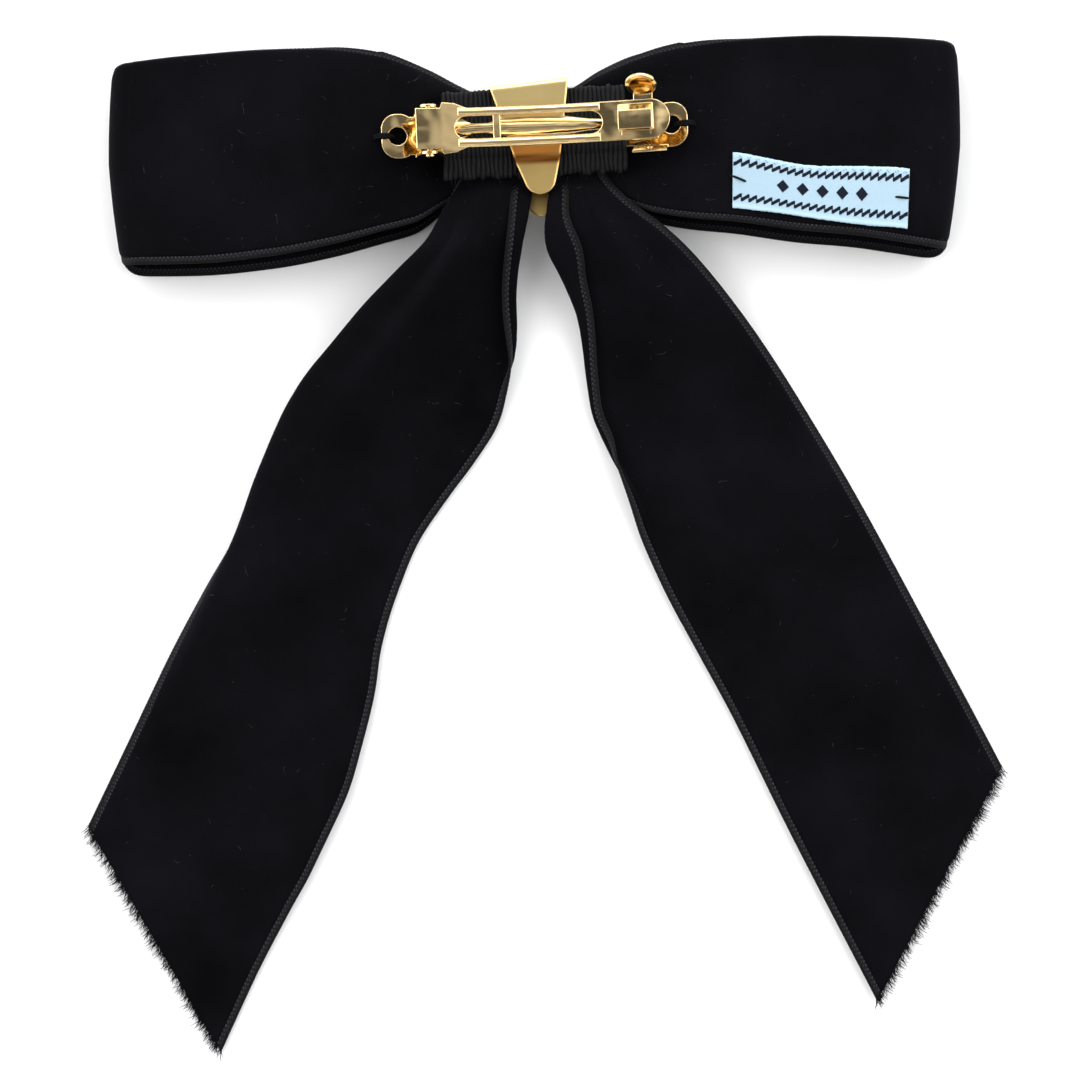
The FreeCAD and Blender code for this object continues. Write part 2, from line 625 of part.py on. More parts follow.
def push_button():
    disc = Part.makeCylinder(BUTTON_RADIUS, BUTTON_THICK, Vector(0, 0, -BUTTON_THICK))
    dish = Part.makeSphere(BUTTON_RADIUS * 3, Vector(0, 0, BUTTON_RADIUS * 3 - 0.32))
    disc = disc.cut(dish)
    return to_latch(button_frame(disc))


def latch_leaf():
    """Upright leaf with its hook and the branch that carries the button."""
    top = BASE_Z + ARM_RISE + ARM_THICK + HOOK_LIFT
    upright = box(-LEAF_HALF, LEAF_HALF, LEAF_Y, LEAF_Y + LEAF_THICK, foot_top() + BEND_GAP, top + LEAF_THICK)
    hook = box(-LEAF_HALF, LEAF_HALF, LEAF_Y, WINDOW_HIGH - HOOK_GAP, top, top + LEAF_THICK)
    branch_z = BASE_Z + ARM_RISE - STEM_DROP
    branch = box(-STEM_HALF, STEM_HALF, LEAF_Y, BUTTON_Y - 1.0, branch_z, branch_z + LEAF_THICK)
    behind = Part.makeBox(40, 40, 40, Vector(-20, -20, -40 - BUTTON_THICK))
    return to_latch(fuse([upright, hook, branch]).cut(button_frame(behind))).cut(push_button())


# ---- stitches and label ----

def end_stitch(side):
    """Two turns of black thread through a hole and round the clip's end."""
    x_in = HOLE_X + HOLE_RADIUS - STITCH
    x_out = CLIP_HALF_LENGTH + STITCH
    low = arc_height(0, x_in) - STITCH / 2 - 3 * FIT_GAP
    high = arc_height(BASE_THICK, x_out) + STITCH
    turns = []
    for y in (-0.3, 0.3):
        ring = rounded_rectangle(x_in, x_out, low, high, STITCH)
        ring.rotate(Vector(0, 0, 0), Vector(1, 0, 0), 90)
        ring.translate(Vector(0, y, 0))
        path = ring.OuterWire
        edge = path.Edges[0]
        start = edge.valueAt(edge.FirstParameter)
        section = Part.Wire(Part.makeCircle(STITCH / 2 + 0.06, start, edge.tangentAt(edge.FirstParameter)))
        turns.append(path.makePipeShell([section], True, True))
    both = turns[0].fuse(turns[1])
    return both if side > 0 else both.mirror(Vector(0, 0, 0), Vector(1, 0, 0))


def label_plan():
    half_x, half_y = LABEL_LENGTH / 2, LABEL_WIDTH / 2
    plan = rounded_rectangle(LABEL_X - half_x, LABEL_X + half_x, LABEL_Y - half_y, LABEL_Y + half_y, 0.5)
    return turned(plan, LABEL_TILT, (LABEL_X, LABEL_Y))


def over_loop(lift, thick):
    """A skin lying on the right loop's back layer."""
    points = loop_top_points(lift)[3:]
    low = spline(in_xz(points))
    high = spline(in_xz([(x, z + thick) for x, z in points]))
    starts = [polyline(in_xz([(x, z), (x, z + thick)])) for x, z in (points[0], points[-1])]
    return face_of(low, starts[1], high, starts[0]).extrude(Vector(0, FAR, 0))


def woven_label():
    return over_loop(FIT_GAP, LABEL_THICK).common(prism(label_plan()))


def label_point(u, v):
    """Plan position of a point given along and across the label from its middle."""
    angle = math.radians(LABEL_TILT)
    x = LABEL_X + u * math.cos(angle) - v * math.sin(angle)
    y = LABEL_Y + u * math.sin(angle) + v * math.cos(angle)
    return x, y


def label_tacks():
    """One thread tack across each end of the label."""
    skin = over_loop(FIT_GAP + LABEL_THICK + 0.02, STITCH * 0.7)
    tacks = []
    for u in (-LABEL_LENGTH / 2 + 1.6, LABEL_LENGTH / 2 - 1.2):
        x, y = label_point(u, 0)
        plan = rounded_rectangle(x - 1.3, x + 1.3, y - STITCH / 2, y + STITCH / 2, STITCH / 2 - 0.01)
        tacks.append(skin.common(prism(plan)))
    return Part.makeCompound([solid for tack in tacks for solid in tack.Solids])


def label_edge_stitches():
    """Row of fine stitches that hem the label's upper edge."""
    skin = over_loop(FIT_GAP + LABEL_THICK + 0.02, 0.2)
    count = 24
    pitch = (LABEL_LENGTH - 3.0) / (count - 1)
    stitches = []
    for i in range(count):
        x, y = label_point(-LABEL_LENGTH / 2 + 1.5 + i * pitch, LABEL_WIDTH / 2 - 0.8)
        plan = rounded_rectangle(x - pitch * 0.3, x + pitch * 0.3, y - 0.18, y + 0.18, 0.1)
        stitches += skin.common(prism(plan)).Solids
    return Part.makeCompound(stitches)


def pad_edge_stitches():
    """Short stitches that hold the pad's lower edge to the ribbon under it."""
    stitches = []
    for x in (-14.0, -8.0, 8.0, 14.0):
        z = arc_height(0, x)
        stitches.append(box(x - 0.2, x + 0.2, -PAD_LOW - 0.42, -PAD_LOW - 0.02, z + 0.2, z + PAD_THICK + 0.2))
    return Part.makeCompound(stitches)


# ---- write every piece ----

PIECES = {
    "left_loop": lambda: make_loop(-1, LEFT_DROOP),
    "right_loop": lambda: make_loop(1, RIGHT_DROOP),
    "left_tail": left_tail,
    "right_tail": right_tail,
    "gather_thread": gather_thread,
    "centre_band": centre_band,
    "grosgrain_pad": grosgrain_pad,
    "clip_base": clip_base,
    "clip_arm": clip_arm,
    "hinge_pin": hinge_pin,
    "tension_bar": tension_bar,
    "latch_foot": latch_foot,
    "latch_leaf": latch_leaf,
    "push_button": push_button,
    "latch_rivet": latch_rivet,
    "left_end_stitch": lambda: end_stitch(-1),
    "right_end_stitch": lambda: end_stitch(1),
    "woven_label": woven_label,
    "label_tack_stitches": label_tacks,
    "label_edge_stitches": label_edge_stitches,
    "pad_edge_stitches": pad_edge_stitches,
}


def main():
    os.makedirs("parts", exist_ok=True)
    for name, make in PIECES.items():
        shape = make()
        solids = shape.Solids
        size = shape.BoundBox
        print(f"{name}: {len(solids)} solids, valid {shape.isValid()}, {shape.Volume:.1f} mm3, "
              f"x {size.XMin:.1f} {size.XMax:.1f}, y {size.YMin:.1f} {size.YMax:.1f}, z {size.ZMin:.2f} {size.ZMax:.2f}")
        whole = solids[0] if len(solids) == 1 else Part.makeCompound(solids)
        whole.exportStep(f"parts/{name}.step")
    pin = pin_centre()
    print("pin", pin.x, pin.z)


main()
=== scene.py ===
import math
import random

import bpy
import numpy as np
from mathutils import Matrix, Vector


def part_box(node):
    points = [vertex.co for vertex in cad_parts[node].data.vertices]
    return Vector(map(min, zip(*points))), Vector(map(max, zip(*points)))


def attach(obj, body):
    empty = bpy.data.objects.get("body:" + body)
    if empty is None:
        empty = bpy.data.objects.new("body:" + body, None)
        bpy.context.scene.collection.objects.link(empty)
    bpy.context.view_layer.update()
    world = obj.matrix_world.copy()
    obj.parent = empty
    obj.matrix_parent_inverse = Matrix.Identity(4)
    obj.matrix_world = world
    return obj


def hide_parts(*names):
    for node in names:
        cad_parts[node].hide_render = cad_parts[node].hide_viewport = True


bl_info = {
    "name": "Velvet hair bow",
    "version": (1, 0, 0),
    "blender": (4, 5, 0),
    "location": "View3D > Sidebar > Hair bow",
    "description": "Builds a velvet ribbon bow on a gold hair clip round its CAD frame",
    "category": "Add Mesh",
}

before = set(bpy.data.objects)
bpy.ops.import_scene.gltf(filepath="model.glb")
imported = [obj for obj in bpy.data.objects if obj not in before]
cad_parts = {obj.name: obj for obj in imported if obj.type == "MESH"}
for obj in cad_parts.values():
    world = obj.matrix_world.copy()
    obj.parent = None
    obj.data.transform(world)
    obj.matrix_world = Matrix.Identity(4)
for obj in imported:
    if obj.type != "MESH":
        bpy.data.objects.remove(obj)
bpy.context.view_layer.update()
MM = 0.001
RIBBON = 50.0  # flat width of the velvet ribbon in mm
HALF_PILE = 0.56  # half the velvet's thickness with a hair's clearance, in mm

# Outlines below are in millimetres: (distance from the bow's middle, y) for the loops, and
# (distance along the tail's middle line, half width to that side) for the tails.
LEFT_LOOP_TOP = [
    (0.4, 8.6), (9, 8.8), (11, 9.0), (16.4, 11.4), (25, 16.2), (36, 20.2), (47.5, 22.0), (61, 22.4),
    (78, 21.8), (90, 20.9), (98, 20.2)
]
LEFT_LOOP_LOW = [
    (0.4, -8.6), (9, -9.0), (16.3, -12.4), (22.6, -16.1), (28, -19.2), (36, -21.2), (47, -23.7),
    (61, -25.8), (76.6, -26.7), (90, -26.3), (98, -25.6)
]
RIGHT_LOOP_TOP = [
    (0.4, 9.0), (7.5, 9.7), (15.4, 13.6), (24.5, 17.0), (33.5, 18.7), (47, 19.8), (61, 20.1), (79, 19.2),
    (93, 17.9), (98, 17.3)
]
RIGHT_LOOP_LOW = [
    (0.4, -8.8), (9, -9.4), (16, -13.4), (22, -17.4), (28, -19.7), (35, -21.2), (45, -22.6), (59, -25.2),
    (72, -26.9), (81, -28.6), (91, -30.4), (98, -31.0)
]
# Height of a loop's back layer by the distance from the bow's middle.
LOOP_HEIGHT = [
    (0.4, 4.5), (11, 4.6), (16, 4.9), (22, 6.0), (30, 8.6), (38, 10.2), (48, 11.4), (60, 11.9),
    (76, 11.6), (90, 10.7)
]
LEFT_TAIL_OUTER = [
    (0, 8.5), (17, 7.2), (32, 7.4), (44, 11.2), (54, 14.9), (64, 17.8), (76, 21.0), (85, 21.9),
    (98, 21.6), (113, 20.6), (128, 22.0), (147, 23.3), (167, 23.8), (225, 24.9)
]
LEFT_TAIL_INNER = [
    (0, 2.0), (17.6, 9.5), (28.6, 12.0), (36.4, 14.3), (47.5, 19.4), (57.5, 22.1), (65.8, 23.6),
    (76, 22.2), (87, 19.8), (100, 17.9), (113, 18.6), (124.5, 20.4), (133, 23.0), (145, 25.3),
    (159, 27.1), (173, 27.1), (187, 26.0), (206, 25.0), (225, 24.9)
]
RIGHT_TAIL_OUTER = [
    (0, 8.0), (17.4, 4.4), (25.5, 6.6), (33.5, 10.7), (43, 14.3), (54, 17.0), (65, 19.0), (81, 20.9),
    (110, 22.9), (144, 23.8), (180, 24.6), (215, 24.8)
]
RIGHT_TAIL_INNER = [
    (0, 2.0), (16.6, 9.4), (23.2, 14.0), (27, 15.1), (31, 15.1), (41, 15.2), (47, 16.5), (57, 20.0),
    (67, 22.8), (75, 22.9), (86, 24.2), (96.5, 25.8), (110, 26.3), (124, 25.9), (142, 25.4), (170, 25.7),
    (215, 25.3)
]
# How far each edge of a tail turns over, in degrees, and the length that lies beyond the turn, by distance.
LEFT_OUTER_TURN = [
    (0, 30), (17, 70), (30, 150), (45, 178), (84, 178), (98, 138), (110, 94), (128, 62), (147, 34),
    (170, 8), (225, 0)
]
LEFT_OUTER_LAP = [
    (0, 1.0), (30, 1.6), (45, 4.0), (64, 4.0), (76, 3.2), (90, 2.6), (102, 1.4), (112, 1.8), (128, 3.6),
    (147, 4.0), (225, 3.0)
]
LEFT_INNER_TURN = [(0, 178), (41, 178), (50, 120), (60, 20), (70, 0), (225, 0)]
LEFT_INNER_LAP = [(0, 3.6), (18, 3.4), (26, 2.4), (36, 1.9), (225, 1.9)]
RIGHT_OUTER_TURN = [(0, 5), (30, 8), (70, 16), (110, 8), (225, 0)]
RIGHT_OUTER_LAP = [(0, 2.0), (225, 2.0)]
RIGHT_INNER_TURN = [(0, 178), (62, 178), (69, 150), (78, 84), (92, 36), (108, 10), (225, 0)]
RIGHT_INNER_LAP = [
    (0, 2.4), (19, 4.0), (28, 6.2), (38, 3.2), (44, 2.2), (54, 1.4), (65, 1.0), (76, 2.8), (225, 2.8)
]
# How far a tail's ridge runs from its middle line, and how high its ridge and pleats stand, by distance.
LEFT_RIDGE = [(0, -2.0), (25.7, -4.4), (35.6, -1.6), (45.8, -3.2), (60.7, -8.0), (70.5, -10.9), (225, -16)]
RIGHT_RIDGE = [(0, 2.0), (30, 3.0), (60, 5.0), (225, 8)]
RIDGE_LOFT = [(0, 0.0), (18, 0.6), (30, 1.7), (60, 1.5), (90, 0.0), (225, 0.0)]
PLEAT_LOFT = [(0, 0.3), (17, 0.8), (26, 1.7), (42, 1.3), (60, 0.4), (76, 0.0), (225, 0.0)]
# Height of a tail's lowest line above the table by y, and how far its folds may stand up there.
TAIL_LIE = [
    (-230, 0.66), (-75, 0.66), (-60, 1.3), (-45, 3.0), (-32, 5.6), (-22, 8.0), (-15, 7.7), (-10.6, 5.95),
    (8, 5.95)
]
TAIL_LOFT = [(-230, 1.0), (-26, 1.0), (-18, 0.5), (-10.6, 0.1), (8, 0.1)]


# ---- curves and grids ----

def smooth_step(value):
    t = np.clip(value, 0.0, 1.0)
    return t * t * (3 - 2 * t)


def ease(x, start, length):
    """0 up to start, 1 from start + length on, and smooth between."""
    return smooth_step((x - start) / length)


def follow(points, x):
    """Smooth curve through listed points, read at x. It never swings past a point."""
    px, py = np.array(points, float).T
    rate = np.diff(py) / np.diff(px)
    before, after = rate[:-1], rate[1:]
    same_way = before * after > 0
    mean = 2 * before * after / np.where(same_way, before + after, 1.0)
    slope = np.concatenate([rate[:1], np.where(same_way, mean, 0.0), rate[-1:]])
    x = np.clip(np.asarray(x, float), px[0], px[-1])
    i = np.clip(np.searchsorted(px, x) - 1, 0, len(px) - 2)
    step = px[i + 1] - px[i]
    t = (x - px[i]) / step
    rise = py[i + 1] - py[i]
    bend = (slope[i] * step * t * (1 - t) ** 2) - (slope[i + 1] * step * t * t * (1 - t))
    return py[i] + rise * t * t * (3 - 2 * t) + bend


def sample(grid, row, col):
    """Points of a grid between its rows and columns."""
    rows, cols = grid.shape[:2]
    row, col = np.clip(row, 0, rows - 1.001), np.clip(col, 0, cols - 1.001)
    i, j = row.astype(int), col.astype(int)
    a, b = (row - i)[..., None], (col - j)[..., None]
    near = grid[i, j] * (1 - b) + grid[i, j + 1] * b
    far = grid[i + 1, j] * (1 - b) + grid[i + 1, j + 1] * b
    return near * (1 - a) + far * a


def grid_normals(grid):
    """Unit normals of a grid of points, by its rows and columns."""
    along = np.gradient(grid, axis=0)
    across = np.gradient(grid, axis=1)
    normal = np.cross(along, across)
    return normal / np.maximum(np.linalg.norm(normal, axis=2, keepdims=True), 1e-12)


# ---- meshes ----

def add_mesh(name, points, faces, material, body="root", smooth=True, **fields):
    """A new piece of the bow from points in metres, riding on a body."""
    mesh = bpy.data.meshes.new(name)
    mesh.from_pydata([tuple(p) for p in points], [], faces)
    for key, values in fields.items():
        attribute = mesh.attributes.new(key, "FLOAT", "POINT")
        attribute.data.foreach_set("value", np.asarray(values, np.float32))
    mesh.polygons.foreach_set("use_smooth", [smooth] * len(mesh.polygons))
    mesh.materials.append(material)
    mesh.update()
    obj = bpy.data.objects.new(name, mesh)
    bpy.context.scene.collection.objects.link(obj)
    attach(obj, body)
    return obj


def grid_faces(rows, cols, start):
    """Faces of a closed sheet whose upper points come first and lower points next."""
    def up(i, j):
        return start + i * cols + j

    def down(i, j):
        return start + rows * cols + i * cols + j

    faces = []
    for i in range(rows - 1):
        for j in range(cols - 1):
            faces.append((up(i, j), up(i + 1, j), up(i + 1, j + 1), up(i, j + 1)))
            faces.append((down(i, j), down(i, j + 1), down(i + 1, j + 1), down(i + 1, j)))
    last_row, last_col = rows - 1, cols - 1
    for i in range(rows - 1):
        faces.append((up(i, 0), down(i, 0), down(i + 1, 0), up(i + 1, 0)))
        faces.append((up(i, last_col), up(i + 1, last_col), down(i + 1, last_col), down(i, last_col)))
    for j in range(cols - 1):
        faces.append((up(0, j), up(0, j + 1), down(0, j + 1), down(0, j)))
        faces.append((up(last_row, j), down(last_row, j), down(last_row, j + 1), up(last_row, j + 1)))
    return faces


def thick_sheets(name, sheets, material, **options):
    """One piece from several mid-surface grids, each with its thickness and its along and across fields."""
    points, faces, along, across = [], [], [], []
    for grid, thickness, run, width in sheets:
        half = np.broadcast_to(thickness, grid.shape[:2])[..., None] / 2
        normal = grid_normals(grid)
        start = sum(len(p) for p in points)
        points += [(grid + normal * half).reshape(-1, 3), (grid - normal * half).reshape(-1, 3)]
        faces += grid_faces(*grid.shape[:2], start)
        along += [run.ravel(), run.ravel()]
        across += [width.ravel(), width.ravel()]
    return add_mesh(name, np.concatenate(points), faces, material, along=np.concatenate(along),
                    across=np.concatenate(across), **options)


def fibres(name, lines, radius, material, **options):
    """Fine hairs, each a three-sided prism that thins towards its tip."""
    sides, taper = 3, 0.6
    points, faces = [], []
    for line in lines:
        start = len(points)
        last = len(line) - 1
        for k, point in enumerate(line):
            ahead = line[min(k + 1, last)] - line[max(k - 1, 0)]
            side = ahead.orthogonal().normalized()
            other = ahead.cross(side).normalized()
            size = radius * (1 - taper * k / last)
            for turn in range(sides):
                angle = math.tau * turn / sides
                points.append(point + side * (math.cos(angle) * size) + other * (math.sin(angle) * size))
        for k in range(last):
            for turn in range(sides):
                a, b = start + sides * k + turn, start + sides * k + (turn + 1) % sides
                faces.append((a, b, b + sides, a + sides))
        end = start + sides * last
        faces += [(start + 2, start + 1, start), (end, end + 1, end + 2)]
    return add_mesh(name, points, faces, material, smooth=False, **options)


def thread_mesh(name, routes, radius, material, body="root"):
    """Round threads through listed points in metres, as one piece."""
    curve = bpy.data.curves.new(name, "CURVE")
    curve.dimensions = "3D"
    curve.bevel_depth = radius
    curve.bevel_resolution = 3
    curve.use_fill_caps = True
    for route in routes:
        spline = curve.splines.new("NURBS")
        spline.points.add(len(route) - 1)
        for point, spot in zip(spline.points, route):
            point.co = (*spot, 1.0)
        spline.order_u = 3
        spline.use_endpoint_u = True
        spline.resolution_u = 6
    obj = bpy.data.objects.new(name, curve)
    bpy.context.scene.collection.objects.link(obj)
    curve.materials.append(material)
    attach(obj, body)
    return obj


# ---- shader nodes ----

def new_material(name):
    """A material with its node tree and its main shader."""
    material = bpy.data.materials.new(name)
    material.use_nodes = True
    tree = material.node_tree
    return material, tree, tree.nodes["Principled BSDF"]


def set_inputs(tree, made, inputs):
    """Links each input to a socket, or sets it to a value."""
    for key, value in inputs.items():
        if isinstance(value, bpy.types.NodeSocket):
            tree.links.new(value, made.inputs[key])
        else:
            made.inputs[key].default_value = value


def node(tree, kind, inputs=None, **settings):
    made = tree.nodes.new(kind)
    for key, value in settings.items():
        setattr(made, key, value)
    set_inputs(tree, made, inputs or {})
    return made


def own_place(tree):
    """The piece's own coordinates in metres."""
    return node(tree, "ShaderNodeTexCoord").outputs["Object"]


def own_y(tree):
    return node(tree, "ShaderNodeSeparateXYZ", {"Vector": own_place(tree)}).outputs["Y"]


def noise(tree, scale, detail=3.0, rough=0.55, stretch=(1, 1, 1)):
    """Noise over the piece's own coordinates, stretched."""
    vector = node(tree, "ShaderNodeMapping", {"Vector": own_place(tree), "Scale": stretch}).outputs["Vector"]
    inputs = {"Vector": vector, "Scale": scale, "Detail": detail, "Roughness": rough}
    return node(tree, "ShaderNodeTexNoise", inputs).outputs["Fac"]


def remap(tree, value, start, end, low=0.0, high=1.0, kind="LINEAR"):
    """Low up to start and high from end on."""
    inputs = {"Value": value, "From Min": start, "From Max": end, "To Min": low, "To Max": high}
    return node(tree, "ShaderNodeMapRange", inputs, interpolation_type=kind).outputs["Result"]


def between(tree, factor, low, high):
    return remap(tree, factor, 0.0, 1.0, low, high)


def scaled(colour, factor):
    return tuple(min(c * factor, 1.0) for c in colour)


def tones(tree, factor, colour, low, high, start=0.0, end=1.0):
    """Low times a colour up to start, and high times it from end on."""
    ramp = node(tree, "ShaderNodeValToRGB", {"Fac": factor})
    for stop, where, share in zip(ramp.color_ramp.elements, (start, end), (low, high)):
        stop.position = where
        stop.color = (*scaled(colour, share), 1)
    return ramp.outputs["Color"]


def mix_colours(tree, factor, first, second):
    """The first colour where the factor is 0 and the second where it is 1."""
    mix = node(tree, "ShaderNodeMix", {"Factor": factor}, data_type="RGBA")
    set_inputs(tree, mix, {"A": first, "B": second})
    return mix.outputs["Result"]


def bump(tree, height, distance, strength=1.0, normal=None):
    inputs = {"Height": height, "Distance": distance, "Strength": strength}
    if normal is not None:
        inputs["Normal"] = normal
    return node(tree, "ShaderNodeBump", inputs).outputs["Normal"]


def rounded(tree, radius):
    """The normal with sharp edges rolled over."""
    return node(tree, "ShaderNodeBevel", {"Radius": radius}, samples=6).outputs["Normal"]


def field(tree, name):
    return node(tree, "ShaderNodeAttribute", attribute_name=name).outputs["Fac"]


def maths(tree, operation, a, b=0.0):
    made = node(tree, "ShaderNodeMath", operation=operation)
    set_inputs(tree, made, {0: a, 1: b})
    return made.outputs[0]


def product(tree, a, b):
    return maths(tree, "MULTIPLY", a, b)


def total(tree, a, b):
    return maths(tree, "ADD", a, b)


def distance_from(tree, value, middle):
    return maths(tree, "ABSOLUTE", maths(tree, "SUBTRACT", value, middle))


# ---- materials ----

def velvet_material(colours):
    """Cut pile: almost black face on, with a cool bloom where it is seen edge on, and patches of painted
    sheen in its colour.
    """
    material, tree, shader = new_material("velvet_pile")
    nap_and_sheen_patches = noise(tree, 34.0, 5.0)
    tufts = noise(tree, 5200.0, 2.0, 0.7)
    brushed = noise(tree, 900.0, stretch=(1, 0.35, 1))
    coarse = bump(tree, brushed, 0.00012, 0.35)
    set_inputs(tree, shader, {
        # Painted sheen: a large noise makes lighter and darker patches in the colour, standing in for the
        # sheen that changes with the pile's direction; the same noise varies the roughness.
        "Base Color": tones(tree, nap_and_sheen_patches, colours.velvet, 0.6, 2.3, 0.3, 0.75),
        "Normal": bump(tree, tufts, 0.00018, 0.8, coarse),
        "Roughness": between(tree, nap_and_sheen_patches, 0.82, 0.98),
        "Specular IOR Level": 0.03,
        "Sheen Weight": 0.04,
        "Sheen Roughness": 0.35,
        "Sheen Tint": (0.55, 0.6, 0.75, 1),
    })
    return material


def selvedge_material(colours):
    """Woven edge of the ribbon: two rows of small floats of yarn, the second between the first's."""
    material, tree, shader = new_material("ribbon_selvedge")
    float_pitch = 0.98
    from_middle = distance_from(tree, field(tree, "across"), RIBBON / 2)
    from_edge = maths(tree, "SUBTRACT", RIBBON / 2, from_middle)
    turns = product(tree, field(tree, "along"), math.tau / float_pitch)
    lit = []
    for middle, reach, glow, shift in ((1.55, 0.42, 1.0, 0.0), (0.95, 0.32, 0.6, math.pi)):
        row = remap(tree, distance_from(tree, from_edge, middle), 0.1, reach, glow, 0.0)
        tick = remap(tree, maths(tree, "SINE", total(tree, turns, shift)), -0.4, 0.7)
        lit.append(product(tree, row, tick))
    spots = noise(tree, 2300.0, 3.0, 0.75)
    beads = product(tree, total(tree, *lit), spots)
    shade = total(tree, product(tree, beads, 0.9), product(tree, spots, 0.45))
    fuzz = bump(tree, spots, 0.0002, 0.8)
    set_inputs(tree, shader, {
        "Base Color": tones(tree, shade, colours.selvedge, 0.06, 3.4, 0.26, 0.95),
        "Normal": bump(tree, beads, 0.00012, 0.6, fuzz),
        "Roughness": between(tree, spots, 0.6, 0.85),
        "Specular IOR Level": 0.15,
        "Sheen Weight": 0.03,
    })
    return material


def grosgrain_material(colours):
    """Ribbed tape, with painted shade between its ribs and a painted highlight on their crests."""
    material, tree, shader = new_material("grosgrain_tape")
    fine = noise(tree, 4200.0, 3.0, 0.7, (0.35, 1, 1))
    wide = noise(tree, 240.0, 2.0)
    # Painted shade and highlight: the rib profile in the along field darkens the grooves and lightens the
    # crests, as light falls on the ribs; fine noise adds random tone.
    shade = total(tree, product(tree, field(tree, "along"), 0.55), product(tree, fine, 0.5))
    set_inputs(tree, shader, {
        "Base Color": tones(tree, shade, colours.grosgrain, 0.05, 2.4, 0.45, 1.05),
        "Normal": bump(tree, fine, 0.00012, 0.7),
        "Roughness": between(tree, wide, 0.5, 0.72),
        "Specular IOR Level": 0.12,
    })
    return material


def thread_material(name, colour):
    """Twisted sewing thread."""
    material, tree, shader = new_material(name)
    mapping = node(tree, "ShaderNodeMapping", {"Vector": own_place(tree)}).outputs["Vector"]
    inputs = {"Vector": mapping, "Scale": 900.0, "Distortion": 1.5, "Detail": 2.0}
    twist = node(tree, "ShaderNodeTexWave", inputs, bands_direction="DIAGONAL").outputs["Fac"]
    set_inputs(tree, shader, {
        "Base Color": tones(tree, twist, colour, 0.5, 1.5),
        "Normal": bump(tree, twist, 0.00008, 0.8),
        "Roughness": 0.65,
        "Specular IOR Level": 0.08,
    })
    return material


def crowned(tree, half_width):
    """A height that falls away from a piece's long middle line, as on a bowed leaf."""
    share = maths(tree, "DIVIDE", own_y(tree), half_width)
    return product(tree, product(tree, share, share), -1.0)


def polished_gold_material(colours, name="polished_gold", half_width=None):
    """Bright plating over stamped metal, with faint polishing marks and rolled edges."""
    material, tree, shader = new_material(name)
    marks = noise(tree, 1600.0, 4.0, stretch=(0.25, 1, 1))
    smears = noise(tree, 120.0, 1.0, 0.4)
    normal = rounded(tree, 0.00034)
    if half_width:
        normal = bump(tree, crowned(tree, half_width), 0.0011, 1.0, normal)
    waves = bump(tree, smears, 0.0012, 0.5, normal)
    set_inputs(tree, shader, {
        "Base Color": tones(tree, smears, colours.gold, 0.88, 1.0, 0.3, 0.7),
        "Normal": bump(tree, marks, 0.000006, 0.5, waves),
        "Roughness": between(tree, marks, 0.04, 0.13),
        "Metallic": 1.0,
    })
    return material


def satin_gold_material(colours):
    """Fine brushed plating on the folded band, with painted light: a painted highlight over its top, a
    painted reflection of the gold clip arm above its crease, and a painted dark reflection in the crease.
    """
    material, tree, shader = new_material("satin_gold")
    # Painted light: crease_y is where the painted dark reflection of the clip arm's underside lies in the
    # band's crease.
    crease_y = -0.0062
    # A painted highlight colour for the band's top, and a painted reflection of the gold clip arm for above
    # the crease.
    pale, arm_reflection_tint = (1.0, 0.77, 0.34, 1), (0.92, 0.52, 0.13, 1)
    y = own_y(tree)
    grain = noise(tree, 5200.0, 4.0, 0.7, (1, 0.06, 0.06))
    cloud = noise(tree, 90.0, 2.0)
    colour = tones(tree, cloud, colours.satin, 0.92, 1.05, 0.3, 0.7)
    # Painted highlight: the band turns paler towards its top.
    colour = mix_colours(tree, remap(tree, y, 0.003, 0.008), colour, pale)
    # Painted reflection of the clip arm: strongest just above the crease, fading towards the top.
    above_crease = remap(tree, y, -0.0074, -0.0050, kind="SMOOTHSTEP")
    below_top = remap(tree, y, -0.0045, 0.0045, 0.75, 0.0)
    colour = mix_colours(tree, product(tree, above_crease, below_top), colour, arm_reflection_tint)
    # Painted dark reflection of the arm's underside: the crease colour along crease_y.
    outside = remap(tree, distance_from(tree, y, crease_y), 0.0003, 0.0016, kind="SMOOTHSTEP")
    set_inputs(tree, shader, {
        "Base Color": mix_colours(tree, outside, (*colours.crease, 1), colour),
        "Normal": bump(tree, noise(tree, 75.0, 0.0), 0.0011, 0.45, rounded(tree, 0.0008)),
        "Roughness": between(tree, grain, 0.25, 0.34),
        "Metallic": 1.0,
    })
    return material


def label_material(colours):
    """Woven label: a fine twill of pale yarn, paler at its hems."""
    material, tree, shader = new_material("label_cloth")
    twill_pitch = 0.36
    width = field(tree, "across")
    slant = total(tree, field(tree, "along"), product(tree, width, -0.5))
    twill = maths(tree, "SINE", product(tree, slant, math.tau / twill_pitch))
    shade = total(tree, product(tree, twill, 0.34), noise(tree, 3600.0, 2.0))
    ground = tones(tree, shade, colours.label, 0.84, 1.1, 0.2, 0.8)
    hem = remap(tree, maths(tree, "ABSOLUTE", width), 5.0, 5.7)
    set_inputs(tree, shader, {
        "Base Color": mix_colours(tree, hem, ground, (*scaled(colours.label, 1.16), 1)),
        "Normal": bump(tree, shade, 0.00008, 0.5),
        "Roughness": 0.5,
        "Sheen Weight": 0.2,
    })
    return material


def lint_material(colours):
    """Pale stray fibres."""
    material, tree, shader = new_material("lint")
    tone = noise(tree, 300.0, 1.0)
    set_inputs(tree, shader, {
        "Base Color": tones(tree, tone, colours.lint, 0.3, 1.0, 0.35, 0.65),
        "Roughness": 0.8,
    })
    return material


